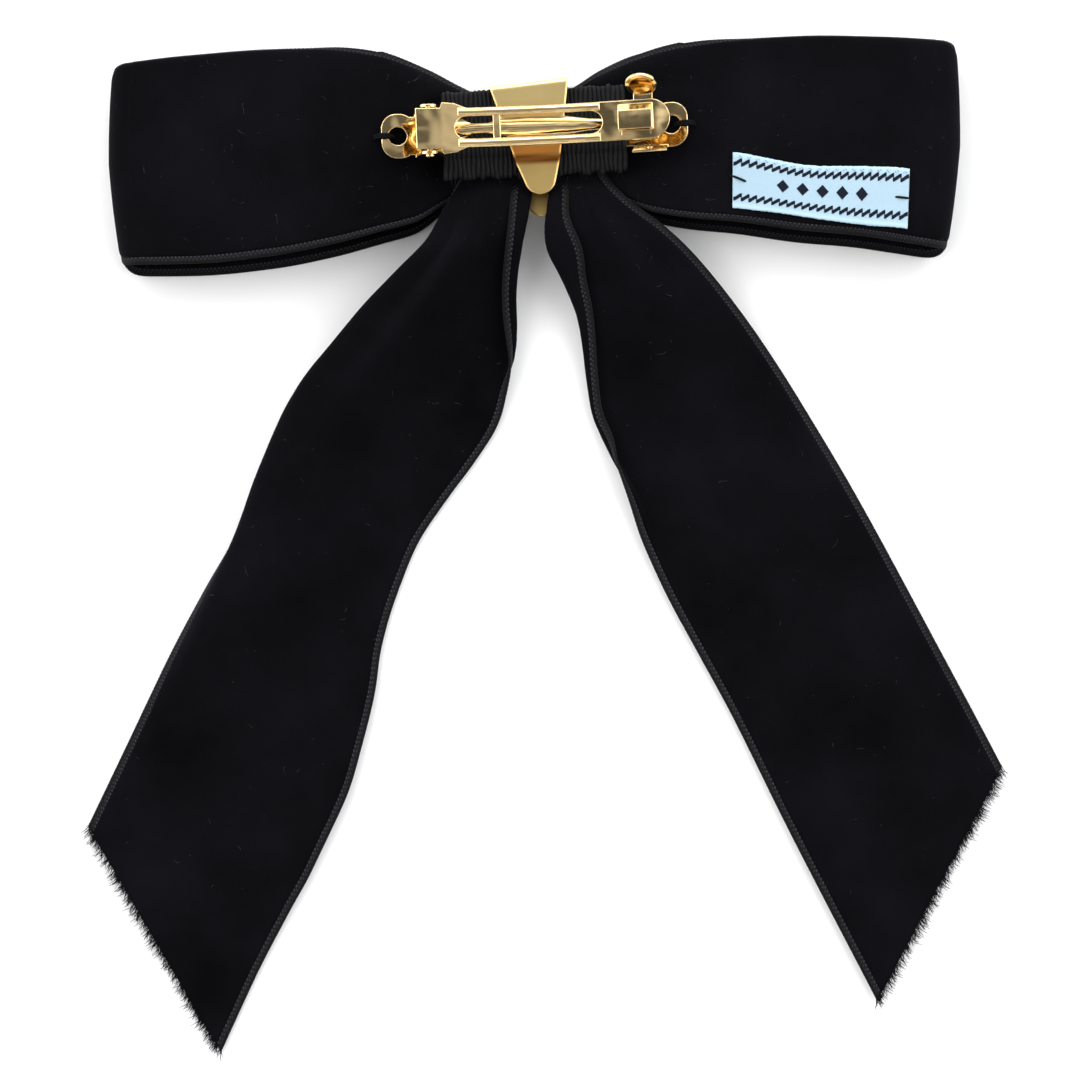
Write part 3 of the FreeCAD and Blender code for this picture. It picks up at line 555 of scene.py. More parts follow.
def floor_material(colours):
    """Plain pale table top."""
    material, tree, shader = new_material("pale_table")
    mottle = noise(tree, 14.0)
    set_inputs(tree, shader, {
        "Base Color": tones(tree, mottle, colours.table, 0.985, 1.0),
        "Roughness": 0.7,
        "Specular IOR Level": 0.2,
    })
    return material


BAR_HALF_WIDTH = 0.0022
MAKERS = {
    "velvet": velvet_material,
    "selvedge": selvedge_material,
    "grosgrain": grosgrain_material,
    "black_thread": lambda colours: thread_material("black_thread", colours.thread),
    "pale_thread": lambda colours: thread_material("pale_thread", colours.pale_thread),
    "label_mark": lambda colours: thread_material("label_mark", colours.mark),
    "polished_gold": polished_gold_material,
    "bowed_gold": lambda colours: polished_gold_material(colours, "bowed_gold", BAR_HALF_WIDTH),
    "satin_gold": satin_gold_material,
    "label": label_material,
    "lint": lint_material,
    "table": floor_material,
}
MATERIALS = {}


def finish(name):
    """A finish by name, made the first time it is asked for."""
    if name not in MATERIALS:
        MATERIALS[name] = MAKERS[name](bpy.context.scene.bow_colours)
    return MATERIALS[name]


def dress(nodes, name):
    """Gives CAD pieces a finish."""
    for part in nodes:
        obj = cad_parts[part]
        obj.data.materials.clear()
        obj.data.materials.append(finish(name))


# ---- sizes and colours a user would change ----

def length_property(name, description, default):
    return bpy.props.FloatProperty(name=name, description=description, default=default, unit="LENGTH")


def colour_property(name, description, default):
    return bpy.props.FloatVectorProperty(name=name, description=description, default=default,
                                         subtype="COLOR", size=3, min=0.0, max=1.0)


class BowSizes(bpy.types.PropertyGroup):
    ribbon_width: length_property("Ribbon width", "Flat width of the velvet ribbon", 0.050)
    pile_thickness: length_property("Pile thickness", "Thickness of the velvet with its pile", 0.0011)
    selvedge_width: length_property("Selvedge width", "Width of the woven edge", 0.0020)
    selvedge_thickness: length_property("Selvedge thickness", "Thickness of the woven edge", 0.00055)
    selvedge_pitch: length_property("Selvedge pitch", "Distance between the woven edge's ribs", 0.0009)
    left_tail_length: length_property("Left tail length", "Along its middle, from the band", 0.206)
    right_tail_length: length_property("Right tail length", "Along its middle, from the band", 0.1965)
    cut_slant: length_property("Cut slant", "How far each edge runs short or long at the cut", 0.0175)
    fray_length: length_property("Fray length", "Longest loose yarn at a cut end", 0.0030)
    tape_pitch: length_property("Tape rib pitch", "Distance between the grosgrain tape's ribs", 0.00104)
    lint_count: bpy.props.IntProperty(
        name="Lint", description="Stray fibres on each loop and tail", default=70, min=0)


class BowColours(bpy.types.PropertyGroup):
    velvet: colour_property("Velvet", "Pile of the ribbon", (0.0020, 0.0020, 0.0027))
    selvedge: colour_property("Selvedge", "Woven edge of the ribbon", (0.0125, 0.0130, 0.0175))
    grosgrain: colour_property("Grosgrain", "Ribbed tape over the clip's base", (0.0046, 0.0046, 0.0056))
    thread: colour_property("Thread", "Black sewing thread", (0.004, 0.004, 0.006))
    pale_thread: colour_property("Pale thread", "Stitches on the label's edge", (0.30, 0.43, 0.62))
    gold: colour_property("Polished gold", "Plating of the clip", (1.0, 0.75, 0.38))
    satin: colour_property("Satin gold", "Plating of the band", (0.93, 0.665, 0.25))
    # Painted shade: the dark reflection of the clip arm's underside, painted into the band's crease.
    crease: colour_property("Crease", "Browned plating in the band's crease", (0.28, 0.10, 0.02))
    label: colour_property("Label", "Woven label's ground", (0.34, 0.485, 0.59))
    mark: colour_property("Label marks", "Woven dashes and lozenges", (0.006, 0.009, 0.018))
    lint: colour_property("Lint", "Stray fibres on the velvet", (0.07, 0.07, 0.085))
    table: colour_property("Table", "Surface the bow lies on", (0.93, 0.93, 0.935))


# ---- loops ----

def loop_grid(side, top, low, end, droop_front):
    """Mid-surface of a loop: back layer, outer fold, front layer. Columns run from low to top."""
    fold = 5.05                       # radius of the outer fold
    corner_radius = 3.0
    v = np.linspace(-1, 1, 91)
    hem = ease(v, 0.9, 0.1)
    back_x = np.concatenate([np.linspace(0.4, 12, 10)[:-1], np.linspace(12, 50, 36)[:-1],
                             np.linspace(50, 88, 26)])
    end_x = np.interp(v, (-1, 0, 1), end) - 1.1 * v ** 2 + 0.9
    pleat = 1.5 * (1 - ease(back_x, 8, 44)) * ease(back_x, 6, 12)

    def edges(x, front):
        bulge = front * droop_front[1] * np.exp(-((x - 22) / 16) ** 2)
        upper = follow(top, x) + bulge - 0.35 * hem * (x > 34)
        lower = follow(low, x) - front * droop_front[0] * ease(x, 10, 20) * smooth_step((98 - x) / 5)
        corner = np.clip((x - end_x + corner_radius) / corner_radius, 0, 0.985)
        rounding = corner_radius * (1 - np.sqrt(1 - corner ** 2))
        return upper - rounding * 0.8, lower + rounding * 0.5

    def row(x, z, front, tuck=0.0):
        upper, lower = edges(x, front)
        return np.stack([x, (upper + lower) / 2 + (upper - lower) / 2 * v + tuck, z], axis=1)

    def reach(x):
        return x + (end_x - fold - 88) * ease(x, 70, 18)

    rows = []
    hem_tuck = -1.5 * hem * ease(v, 0.93, 0.07)
    for x, fold_height in zip(back_x, pleat):
        crown = -0.5 * v ** 2 * ease(x, 30, 30) * (1 - ease(x, 70, 18))
        waves = np.cos(math.tau * 1.3 * v + 0.5) * 0.6 + np.cos(math.tau * 2.2 * v + 1.4) * 0.25
        sag = 0.35 * math.sin(x / 13.0) * v * ease(x, 25, 20)
        rolled = 2.2 * hem * ease(x, 34, 26)
        z = follow(LOOP_HEIGHT, x) + crown + fold_height * waves - rolled + sag
        rows.append(row(reach(x), z, 0.0, hem_tuck * ease(x, 34, 26)))
    for angle in np.linspace(0, math.pi, 15):
        left = 1 - smooth_step(angle / 1.6)
        x = end_x - fold + fold * math.sin(angle)
        z = HALF_PILE + fold + fold * math.cos(angle) - 2.2 * hem * left
        rows.append(row(x, z, smooth_step(angle / math.pi), hem_tuck * left))
    for x, fold_height in zip(back_x[::-1], pleat[::-1]):
        lift = 1.45 * (1 - ease(x, 10, 8))
        waves = np.abs(fold_height * np.cos(math.tau * 1.6 * v + 0.9)) * 0.9 * ease(x, 11, 8)
        rows.append(row(reach(x), HALF_PILE + lift + waves, 1.0))
    grid = np.array(rows)
    grid[..., 0] *= side
    return grid * MM


def run_and_width(grid, width):
    """Distances in millimetres along and across a grid, for the woven patterns."""
    middle = grid[:, grid.shape[1] // 2]
    run = np.concatenate([[0], np.cumsum(np.linalg.norm(np.diff(middle, axis=0), axis=1))]) / MM
    across = np.linspace(0, width / MM, grid.shape[1])
    return np.broadcast_to(run[:, None], grid.shape[:2]), np.broadcast_to(across[None], grid.shape[:2])


def pile_profile(cols, thickness):
    """Pile thickness across the ribbon, rounded off beside the selvedges."""
    edge = np.minimum(np.arange(cols), np.arange(cols)[::-1])
    return thickness * np.array([0.45, 0.8, 0.95, 1.0])[np.minimum(edge, 3)]


def selvedge_sheets(grid, sizes):
    """The two woven edges as finely ribbed bands that follow a ribbon's grid."""
    steps_per_rib, lanes, lane_shift = 5, 6, 2.2
    run, across = run_and_width(grid, sizes.ribbon_width)
    steps = int(run[-1, 0] * MM / sizes.selvedge_pitch * steps_per_rib)
    share = sizes.selvedge_width / sizes.ribbon_width
    rows, last = np.linspace(0, grid.shape[0] - 1, steps), grid.shape[1] - 1
    sheets = []
    for low, high in ((0.0, share), (1.0 - share, 1.0)):
        r, c = np.meshgrid(rows, np.linspace(low, high, lanes) * last, indexing="ij")
        fields = sample(np.stack([run, across], axis=2), r, c)
        turns = fields[..., 0] * math.tau / (sizes.selvedge_pitch / MM)
        beads = np.sin(turns + np.arange(lanes)[None] * lane_shift)
        thickness = sizes.selvedge_thickness * (1 + 0.28 * beads)
        thickness[:, [0, -1]] *= 0.7
        sheets.append((sample(grid, r, c), thickness, fields[..., 0], fields[..., 1]))
    return sheets


def velvet_ribbon(name, grid, sizes):
    """Velvet and its two selvedges over one mid-surface grid, in place of the CAD node of that name."""
    under_selvedge = 0.85  # share of the selvedge that the velvet stops short by
    share = sizes.selvedge_width / sizes.ribbon_width * under_selvedge
    rows, cols = grid.shape[:2]
    fine_cols = cols + 6
    columns = np.linspace(share, 1 - share, fine_cols) * (cols - 1)
    r, c = np.meshgrid(np.arange(rows, dtype=float), columns, indexing="ij")
    fields = sample(np.stack(run_and_width(grid, sizes.ribbon_width), axis=2), r, c)
    pile = pile_profile(fine_cols, sizes.pile_thickness)
    sheet = (sample(grid, r, c), pile[None] + np.zeros((rows, 1)), fields[..., 0], fields[..., 1])
    velvet = thick_sheets(f"{name}_velvet", [sheet], finish("velvet"))
    edges = thick_sheets(f"{name}_selvedge", selvedge_sheets(grid, sizes), finish("selvedge"))
    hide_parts(name)
    return velvet, edges


class BOW_OT_loops(bpy.types.Operator):
    """Makes the two folded velvet loops"""
    bl_idname = "bow.loops"
    bl_label = "Loops"

    def execute(self, context):
        sizes = context.scene.bow_sizes
        loops = (
            ("left_loop", -1, LEFT_LOOP_TOP, LEFT_LOOP_LOW, (95.0, 95.7, 95.0), (1.7, 0.9)),
            ("right_loop", 1, RIGHT_LOOP_TOP, RIGHT_LOOP_LOW, (92.4, 95.2, 96.4), (1.5, 1.0)),
        )
        for name, side, top, low, end, droop_front in loops:
            grid = loop_grid(side, top, low, end, droop_front)
            velvet, edges = velvet_ribbon(name, grid, sizes)
            scatter_lint(f"{name}_lint", grid, sizes.lint_count, 11 + side)
        return {"FINISHED"}


# ---- tails ----

def tail_section(width, outer, inner):
    """Cross-section of the flat ribbon laid to a given showing width, as inward and upward distances in mm.

    Each edge is given as the angle it turns over by, the length beyond the turn and the radius of the turn.
    """
    steps, bend_share, margin = 120, 1.3, 1.5
    arc = (np.arange(steps) + 0.5) / steps * RIBBON
    (outer_angle, outer_lap, outer_radius), (inner_angle, inner_lap, inner_radius) = outer, inner
    outer_bend = bend_share * outer_radius * max(outer_angle, 0.5)
    inner_bend = bend_share * inner_radius * max(inner_angle, 0.5)
    angle = outer_angle * (1 - ease(arc, outer_lap, outer_bend))
    angle += inner_angle * ease(arc, RIBBON - inner_lap - inner_bend, inner_bend)
    first, last = outer_lap + outer_bend + margin, RIBBON - inner_lap - inner_bend - margin
    body = (arc > first) & (arc < last)
    stride = np.cos(angle) * RIBBON / steps
    inward = np.cumsum(stride)
    low, high = np.argmin(inward[arc < first + 1]), np.argmax(inward)
    spare = stride[low + 1:high + 1].sum() - width
    easing = np.clip(1 - spare / max(stride[body].sum(), 1), 0.12, 1.2)
    inward = np.cumsum(np.where(body, stride * easing, stride))
    upward = np.cumsum(np.sin(angle) * RIBBON / steps)
    outer_rise = np.interp(first, arc, upward)
    upward -= outer_rise * ease(arc, first, last - first)
    clear = (inner_lap + 3.0) * min(inner_angle / 2.0, 1.0) / easing
    body = ease(arc, first, 6) * smooth_step((last - clear - arc) / 8)
    return inward - inward[low], upward - upward.min(), body


def tail_grid(start, along, outward, length, cut, edges, folds, ridge, wobble):
    """Mid-surface of a tail. Columns run from the outer to the inner edge; the last row is the cut."""
    widest, inner_radius = 50.8, 0.8
    stations = np.arange(0.0, length + cut + 2.0, 1.0)
    start, along, outward = (np.array(p, float) for p in (start, along, outward))
    along, outward = along / np.linalg.norm(along), outward / np.linalg.norm(outward)
    outer_turn, outer_lap, inner_turn, inner_lap = folds
    sections = []
    for s in stations:
        out, into = float(follow(edges[0], s)), float(follow(edges[1], s))
        outer_radius = 0.9 + 1.4 * float(ease(s, 18, 35))
        outer = (math.radians(float(follow(outer_turn, s))), float(follow(outer_lap, s)), outer_radius)
        inner = (math.radians(float(follow(inner_turn, s))), float(follow(inner_lap, s)), inner_radius)
        inward, upward, body = tail_section(min(out + into, widest), outer, inner)
        side = out - inward
        plan = start[None] + along[None] * s + outward[None] * side[:, None]
        fold = follow(RIDGE_LOFT, s) * np.exp(-((side + follow(ridge, s)) / 5.0) ** 2)
        share = np.linspace(0, 1, len(side))
        pleats = follow(PLEAT_LOFT, s) * (0.5 + 0.5 * np.cos(math.tau * 2.3 * share + 0.8))
        upward = upward + (fold + pleats) * body
        wave = wobble[0] * ease(s, 80, 60) * (0.5 + 0.5 * np.sin(s / wobble[1] + side / 16.0))
        lie = follow(TAIL_LIE, plan[:, 1])
        loft = follow(TAIL_LOFT, plan[:, 1])
        sections.append(np.column_stack([plan, lie + upward * loft + wave]))
    fine = np.array(sections)
    smoothing_passes = 6
    for _ in range(smoothing_passes):
        fine[1:-1] = (fine[:-2] + 2 * fine[1:-1] + fine[2:]) / 4
    cols = 104
    u = np.linspace(0, 1, cols)
    share = np.concatenate([np.linspace(0, 0.45, 90)[:-1], np.linspace(0.45, 1.0, 90)])
    reach = length + cut * (2 * u - 1)
    r = share[:, None] * reach[None]
    c = np.broadcast_to(u * (fine.shape[1] - 1), r.shape)
    return sample(fine, r, c) * MM


def fray(name, grid, sizes, seed):
    """Loose yarn ends along a slanted cut."""
    rng = random.Random(seed)
    count, yarn_radius, lowest = 760, 0.00012, 0.0001
    lines = []
    last, before = grid[-1], grid[-4]
    for _ in range(count):
        position = rng.random() * (grid.shape[1] - 1)
        j = min(int(position), grid.shape[1] - 2)
        share = position - j
        root = Vector(last[j] * (1 - share) + last[j + 1] * share)
        ahead = (root - Vector(before[j] * (1 - share) + before[j + 1] * share)).normalized()
        side = Vector((-ahead.y, ahead.x, 0))
        reach = sizes.fray_length * (0.3 + 0.7 * rng.random() ** 1.2)
        lean = rng.gauss(0, 0.35)
        lift = rng.uniform(-0.0004, 0.0005)
        root = root - ahead * 0.0006 + Vector((0, 0, lift))
        middle = root + ahead * reach * 0.55 + side * reach * lean * 0.4
        tip = root + ahead * reach + side * reach * lean + Vector((0, 0, rng.uniform(-0.3, 0.5) * reach))
        tip.z = max(tip.z, lowest)
        middle.z = max(middle.z, lowest)
        lines.append([root, middle, tip])
    return fibres(name, lines, yarn_radius, finish("black_thread"))


class BOW_OT_tails(bpy.types.Operator):
    """Makes the two velvet tails with their frayed ends"""
    bl_idname = "bow.tails"
    bl_label = "Tails"

    def execute(self, context):
        sizes = context.scene.bow_sizes
        cut = sizes.cut_slant / MM
        tails = (
            ("left_tail", (-2.5, 4.0), (-0.451, -0.8925), (-0.8925, 0.451), sizes.left_tail_length / MM,
             (LEFT_TAIL_OUTER, LEFT_TAIL_INNER),
             (LEFT_OUTER_TURN, LEFT_OUTER_LAP, LEFT_INNER_TURN, LEFT_INNER_LAP), LEFT_RIDGE, (1.2, 17.0),
             (5, 21)),
            ("right_tail", (4.6, 4.0), (0.4125, -0.911), (0.911, 0.4125), sizes.right_tail_length / MM,
             (RIGHT_TAIL_OUTER, RIGHT_TAIL_INNER),
             (RIGHT_OUTER_TURN, RIGHT_OUTER_LAP, RIGHT_INNER_TURN, RIGHT_INNER_LAP), RIGHT_RIDGE, (0.8, 21.0),
             (6, 22)),
        )
        for name, start, along, outward, length, edge_lines, folds, ridge, wobble, seeds in tails:
            grid = tail_grid(start, along, outward, length, cut, edge_lines, folds, ridge, wobble)
            # Columns then run from right to left on both tails, so the same face is up.
            if name == "left_tail":
                grid = grid[:, ::-1]
            velvet, edges = velvet_ribbon(name, grid, sizes)
            ends = fray(f"{name}_fray", grid, sizes, seeds[0])
            scatter_lint(f"{name}_lint", grid, sizes.lint_count, seeds[1])
        return {"FINISHED"}


# ---- lint ----

def scatter_lint(name, grid, count, seed):
    """Stray fibres that lie on the upward side of a ribbon."""
    rng = random.Random(seed)
    normals = grid_normals(grid)
    above_middle, fibre_radius = 0.00062, 0.00003
    lines = []
    tries, most_tries = 0, 40 * count
    while len(lines) < count and tries < most_tries:
        tries += 1
        i, j = rng.randrange(12, grid.shape[0] - 2), rng.randrange(3, grid.shape[1] - 3)
        point, normal = Vector(grid[i, j]), Vector(normals[i, j])
        if normal.z < 0:
            normal = -normal
        if normal.z < 0.75 or not is_open_to_view(grid, point):
            continue
        heading = rng.random() * math.tau
        way = Vector((math.cos(heading), math.sin(heading), 0))
        way = (way - normal * way.dot(normal)).normalized()
        side = normal.cross(way)
        reach = 0.00025 + 0.0013 * rng.random() ** 3
        curl = rng.gauss(0, 0.9)
        lift = normal * above_middle
        line = []
        for step in range(4):
            t = step / 3
            spot = point + lift + way * (reach * t) + side * (reach * curl * t * t)
            line.append(spot + normal * (0.0002 * t * (1 - t)))
        lines.append(line)
    obj = fibres(name, lines, fibre_radius, finish("lint"))
    return obj


def is_open_to_view(grid, point):
    """Whether nothing of the same ribbon lies above a point."""
    beside, above = 0.002, 0.0025
    flat = grid.reshape(-1, 3)
    near = np.hypot(flat[:, 0] - point.x, flat[:, 1] - point.y) < beside
    return not np.any(flat[near, 2] > point.z + above)


# ---- grosgrain pad ----

def clip_arc():
    """Radius of the clip base's underside and the height of its centre, from the base's own box."""
    radius = 0.150
    base_low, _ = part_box("clip_base")
    return radius, base_low[2] + radius


class BOW_OT_pad(bpy.types.Operator):
    """Makes the ribbed tape over the clip's base"""
    bl_idname = "bow.pad"
    bl_label = "Grosgrain pad"

    def execute(self, context):
        sizes = context.scene.bow_sizes
        low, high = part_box("grosgrain_pad")
        radius, centre = clip_arc()
        ribs = round((high[0] - low[0]) / sizes.tape_pitch)
        per_rib = 10
        cols = ribs * per_rib + 1
        x = np.linspace(low[0], high[0], cols)
        share = np.linspace(0, ribs, cols)
        rng = random.Random(31)
        ragged_low = [rng.uniform(-0.00045, 0.00025) for _ in range(ribs + 1)]
        ragged_high = [rng.uniform(-0.0002, 0.0003) for _ in range(ribs + 1)]
        rows = 71
        v = np.linspace(0, 1, rows)
        rib = np.abs(np.sin(np.pi * share)) ** 0.8
        grid = np.zeros((cols, rows, 3))
        top = np.zeros((cols, rows))
        for i in range(cols):
            k = min(int(share[i]), ribs - 1)
            y0 = low[1] + ragged_low[k] * rib[i] + 0.0004
            y1 = high[1] + ragged_high[k] * rib[i]
            y = y0 + (y1 - y0) * v
            over_base = 1 - ease(np.abs(y), 0.0041, 0.0014)
            arc = centre - math.sqrt(radius ** 2 - x[i] ** 2)
            edge = np.minimum(v, 1 - v) * (y1 - y0)
            rounding = 0.00045 * (1 - np.sqrt(np.clip(edge / 0.0007, 0, 1)))
            sway = 0.00012 * np.sin(y * 900 + k)
            grid[i, :, 0] = x[i] + sway
            grid[i, :, 1] = y
            grid[i, :, 2] = arc + 0.00055 + 0.00056 * over_base - rounding
            top[i] = 0.00036 + 0.0007 * rib[i]
        # The rib profile goes into the along field, which the grosgrain finish turns into painted shade in
        # the grooves and a painted highlight on the crests.
        run, across = np.broadcast_arrays(rib[:, None], v[None])
        pad = thick_sheets("grosgrain_pad_tape", [(grid, top, run, across)], finish("grosgrain"))
        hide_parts("grosgrain_pad", "pad_edge_stitches")
        self.add_loose_threads(low)
        return {"FINISHED"}

    def add_loose_threads(self, low):
        """Whiskers of loose thread along the pad's lower edge."""
        rng = random.Random(33)
        count, yarn_radius = 46, 0.00006
        lines = []
        for _ in range(count):
            x = rng.uniform(-0.020, 0.0198)
            root = Vector((x, low[1] + rng.uniform(-0.0004, 0.0012), 0.0090 + x * x / 0.3))
            reach = rng.uniform(0.0006, 0.0022)
            side = rng.uniform(-1, 1) * reach
            middle = root + Vector((side * 0.4, -reach * 0.5, 0.0003))
            lines.append([root, middle, root + Vector((side, -reach, rng.uniform(-0.0009, 0.0)))])
        whiskers = fibres("pad_whiskers", lines, yarn_radius, finish("selvedge"))


# ---- metal ----

class BOW_OT_metal(bpy.types.Operator):
    """Finishes the gold band and the clip"""
    bl_idname = "bow.metal"
    bl_label = "Band and clip"

    def execute(self, context):
        dress(["centre_band"], "satin_gold")
        dress(["tension_bar"], "bowed_gold")
        dress(["clip_base", "clip_arm", "hinge_pin", "latch_foot", "latch_leaf", "push_button",
               "latch_rivet"], "polished_gold")
        return {"FINISHED"}


# ---- stitches ----

def end_thread(side):
    """Thread turns from a hole in the clip, round its end and into the velvet."""
    low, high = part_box("right_end_stitch")
    clearance = 0.0001
    top = high[2] + clearance
    routes = []
    for k, spread in enumerate((-0.32, -0.08, 0.14, 0.36)):
        y = spread * MM
        inside = (side * (low[0] - 0.0004), y * 0.4, low[2] - 0.0009)
        rise = (side * (low[0] + 0.0002), y * 0.6, top - 0.0006)
        over = (side * (low[0] + 0.0014), y * 0.9, top + 0.00008 * k)
        past = (side * (high[0] - 0.0003), y * 0.9, top - 0.0002 + 0.00008 * k)
        down = (side * (high[0] + 0.0008), y, low[2] + 0.0007)
        sunk = (side * (high[0] + 0.0011), y, low[2] - 0.0005)
        routes.append([inside, rise, over, past, down, sunk])
    return routes


class BOW_OT_stitches(bpy.types.Operator):
    """Makes the sewing threads"""
    bl_idname = "bow.stitches"
    bl_label = "Stitches"

    def execute(self, context):
        radius = 0.00028
        for name, side in (("left_end_stitch", -1), ("right_end_stitch", 1)):
            thread = thread_mesh(f"{name}_thread", end_thread(side), radius, finish("black_thread"))
            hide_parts(name)
        dress(["gather_thread"], "black_thread")
        return {"FINISHED"}


# ---- label ----

LABEL_LENGTH, LABEL_WIDTH = 40.0, 13.0
LABEL_CORNERS = ((43.8, -19.5), (82.9, -26.0), (44.4, -7.0), (84.0, -12.5))
LABEL_LIFT = 0.3   # middle of the cloth above the loop's pile, in mm
MARK_LIFT = 0.42   # foot of the woven marks above the loop's pile, in mm
MARK_HEIGHT = 0.09


def label_spot(u, v, lift):
    """Place on the label, u along and v across it from its middle, in mm, on the right loop's back."""
    t, w = u / LABEL_LENGTH + 0.5, v / LABEL_WIDTH + 0.5
    low_left, low_right, top_left, top_right = (Vector(corner) for corner in LABEL_CORNERS)
    flat = low_left.lerp(low_right, t).lerp(top_left.lerp(top_right, t), w)
    inside = min(max(t, 0.0), 1.0)
    top_sag = w * 1.45 * math.sin(math.pi * inside ** 0.8) ** 2.4
    low_sag = (1 - w) * 0.42 * math.sin(math.pi * inside ** 1.6) ** 2
    sag = top_sag + low_sag
    ripple = 0.3 * math.sin(u * 0.22 + 0.6) ** 2
    z = float(follow(LOOP_HEIGHT, flat.x)) + HALF_PILE + lift + ripple
    return Vector((flat.x, flat.y - sag, z)) * MM


def label_patch(outline, lift, height):
    """A raised woven mark with straight sides, as points and faces."""
    count = len(outline)
    points = [label_spot(u, v, level) for level in (lift + height, lift) for u, v in outline]
    faces = [tuple(range(count)), tuple(reversed(range(count, 2 * count)))]
    for k in range(count):
        after = (k + 1) % count
        faces.append((k, k + count, after + count, after))
    return points, faces


def label_stroke(line, half, lift, height):
    """A raised woven stroke of even width along a line, as points and faces."""
    count = len(line)
    points = []
    for level in (lift + height, lift):
        points += [label_spot(u, v + half, level) for u, v in line]
        points += [label_spot(u, v - half, level) for u, v in line]
    faces = []
    for k in range(count - 1):
        a, b, c, d = k, count + k, 2 * count + k, 3 * count + k
        faces += [(a, b, b + 1, a + 1), (c, c + 1, d + 1, d), (a, a + 1, c + 1, c), (b, d, d + 1, b + 1)]
    last = count - 1
    faces.append((0, 2 * count, 3 * count, count))
    faces.append((last, count + last, 3 * count + last, 2 * count + last))
    return points, faces


def join_patches(name, patches, material):
    points, faces = [], []
    for patch_points, patch_faces in patches:
        start = len(points)
        points += patch_points
        faces += [tuple(start + i for i in face) for face in patch_faces]
    return add_mesh(name, points, faces, material, smooth=False)


class BOW_OT_label(bpy.types.Operator):
    """Makes the woven label with plain dashes and lozenges, and its stitches"""
    bl_idname = "bow.label"
    bl_label = "Woven label"

    def execute(self, context):
        self.add_cloth()
        self.add_marks()
        self.add_stitches()
        return {"FINISHED"}

    def add_cloth(self):
        rows, cols = 121, 41
        u = np.linspace(-LABEL_LENGTH / 2, LABEL_LENGTH / 2, rows)
        v = np.linspace(-LABEL_WIDTH / 2, LABEL_WIDTH / 2, cols)
        rng = random.Random(41)
        frayed = [rng.uniform(-0.08, 0.08) for _ in range(rows)]
        grid = np.zeros((rows, cols, 3))
        for i in range(rows):
            for j in range(cols):
                edge = frayed[i] if j in (0, cols - 1) else 0.0
                grid[i, j] = label_spot(u[i], v[j] + edge, LABEL_LIFT)
        run, across = np.meshgrid(u, v, indexing="ij")
        thickness = np.full((rows, cols), 0.0003)
        thickness[:, [0, -1]] = 0.00018
        cloth = thick_sheets("woven_label_cloth", [(grid, thickness, run, across)], finish("label"))
        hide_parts("woven_label")

    def add_marks(self):
        patches = []
        pitch, half_stroke = 1.72, 0.45
        bend = ((-0.98, -0.52), (-0.62, -0.46), (-0.2, -0.16), (0.2, 0.16), (0.62, 0.46), (0.98, 0.52))
        for row_v in (4.3, -3.85):
            for k in range(23):
                u = -LABEL_LENGTH / 2 + 1.12 + k * pitch
                stroke = [(u + du, row_v + dv) for du, dv in bend]
                patches.append(label_stroke(stroke, half_stroke, MARK_LIFT, MARK_HEIGHT))
        for k in range(5):
            u = (k - 2) * 4.5 + 0.3
            tall, wide, middle = 1.6, 1.4, 0.3
            lozenge = [(u - wide, middle), (u, middle - tall), (u + wide, middle), (u, middle + tall)]
            patches.append(label_patch(lozenge, MARK_LIFT, MARK_HEIGHT))
        marks = join_patches("woven_label_marks", patches, finish("label_mark"))

    def add_stitches(self):
        patches = []
        count, hem_height = 20, 0.08
        for k in range(count):
            u = -LABEL_LENGTH / 2 + 1.4 + k * (LABEL_LENGTH - 2.6) / (count - 1)
            for half in (0, 1):
                a = u + half * 0.5
                dash = [(a - 0.3, 5.32), (a + 0.1, 5.32), (a + 0.3, 5.86), (a - 0.1, 5.86)]
                patches.append(label_patch(dash, MARK_LIFT, hem_height))
        hem = join_patches("label_edge_thread", patches, finish("pale_thread"))
        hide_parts("label_edge_stitches")
        tack_radius = 0.00027
        routes = []
        for side in (-1, 1):
            end = side * LABEL_LENGTH / 2
            steps = ((0.5, -0.5), (0.15, 0.35), (-1.3, 0.62), (-2.7, 0.55), (-3.0, 0.2))
            rise, slant = (0.9, 0.3) if side < 0 else (0.1, 0.0)
            routes.append([label_spot(end + side * d, rise + slant * d, lift) for d, lift in steps])
        tacks = thread_mesh("label_tack_thread", routes, tack_radius, finish("black_thread"))
        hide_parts("label_tack_stitches")


# ---- stage ----

def add_light(name, place_at, look_at, size, energy, colour):
    data = bpy.data.lights.new(name, "AREA")
    data.shape = "RECTANGLE"
    data.size, data.size_y = size
    data.energy = energy
    data.color = colour
    obj = bpy.data.objects.new(name, data)
    bpy.context.scene.collection.objects.link(obj)
    obj.location = place_at
    obj.rotation_euler = (Vector(look_at) - Vector(place_at)).to_track_quat("-Z", "Y").to_euler()


class BOW_OT_camera(bpy.types.Operator):
    """Places the camera straight above the bow"""
    bl_idname = "bow.camera"
    bl_label = "Camera"

    def execute(self, context):
        data = bpy.data.cameras.new("camera")
        data.sensor_width = 36.0
        data.lens = 87.0
        data.clip_start, data.clip_end = 0.01, 10.0
        camera = bpy.data.objects.new("camera", data)
        context.scene.collection.objects.link(camera)
        camera.location = (-0.0028, -0.0924, 0.600)
        camera.rotation_euler = (0, 0, math.radians(-2.5))
        context.scene.camera = camera
        return {"FINISHED"}


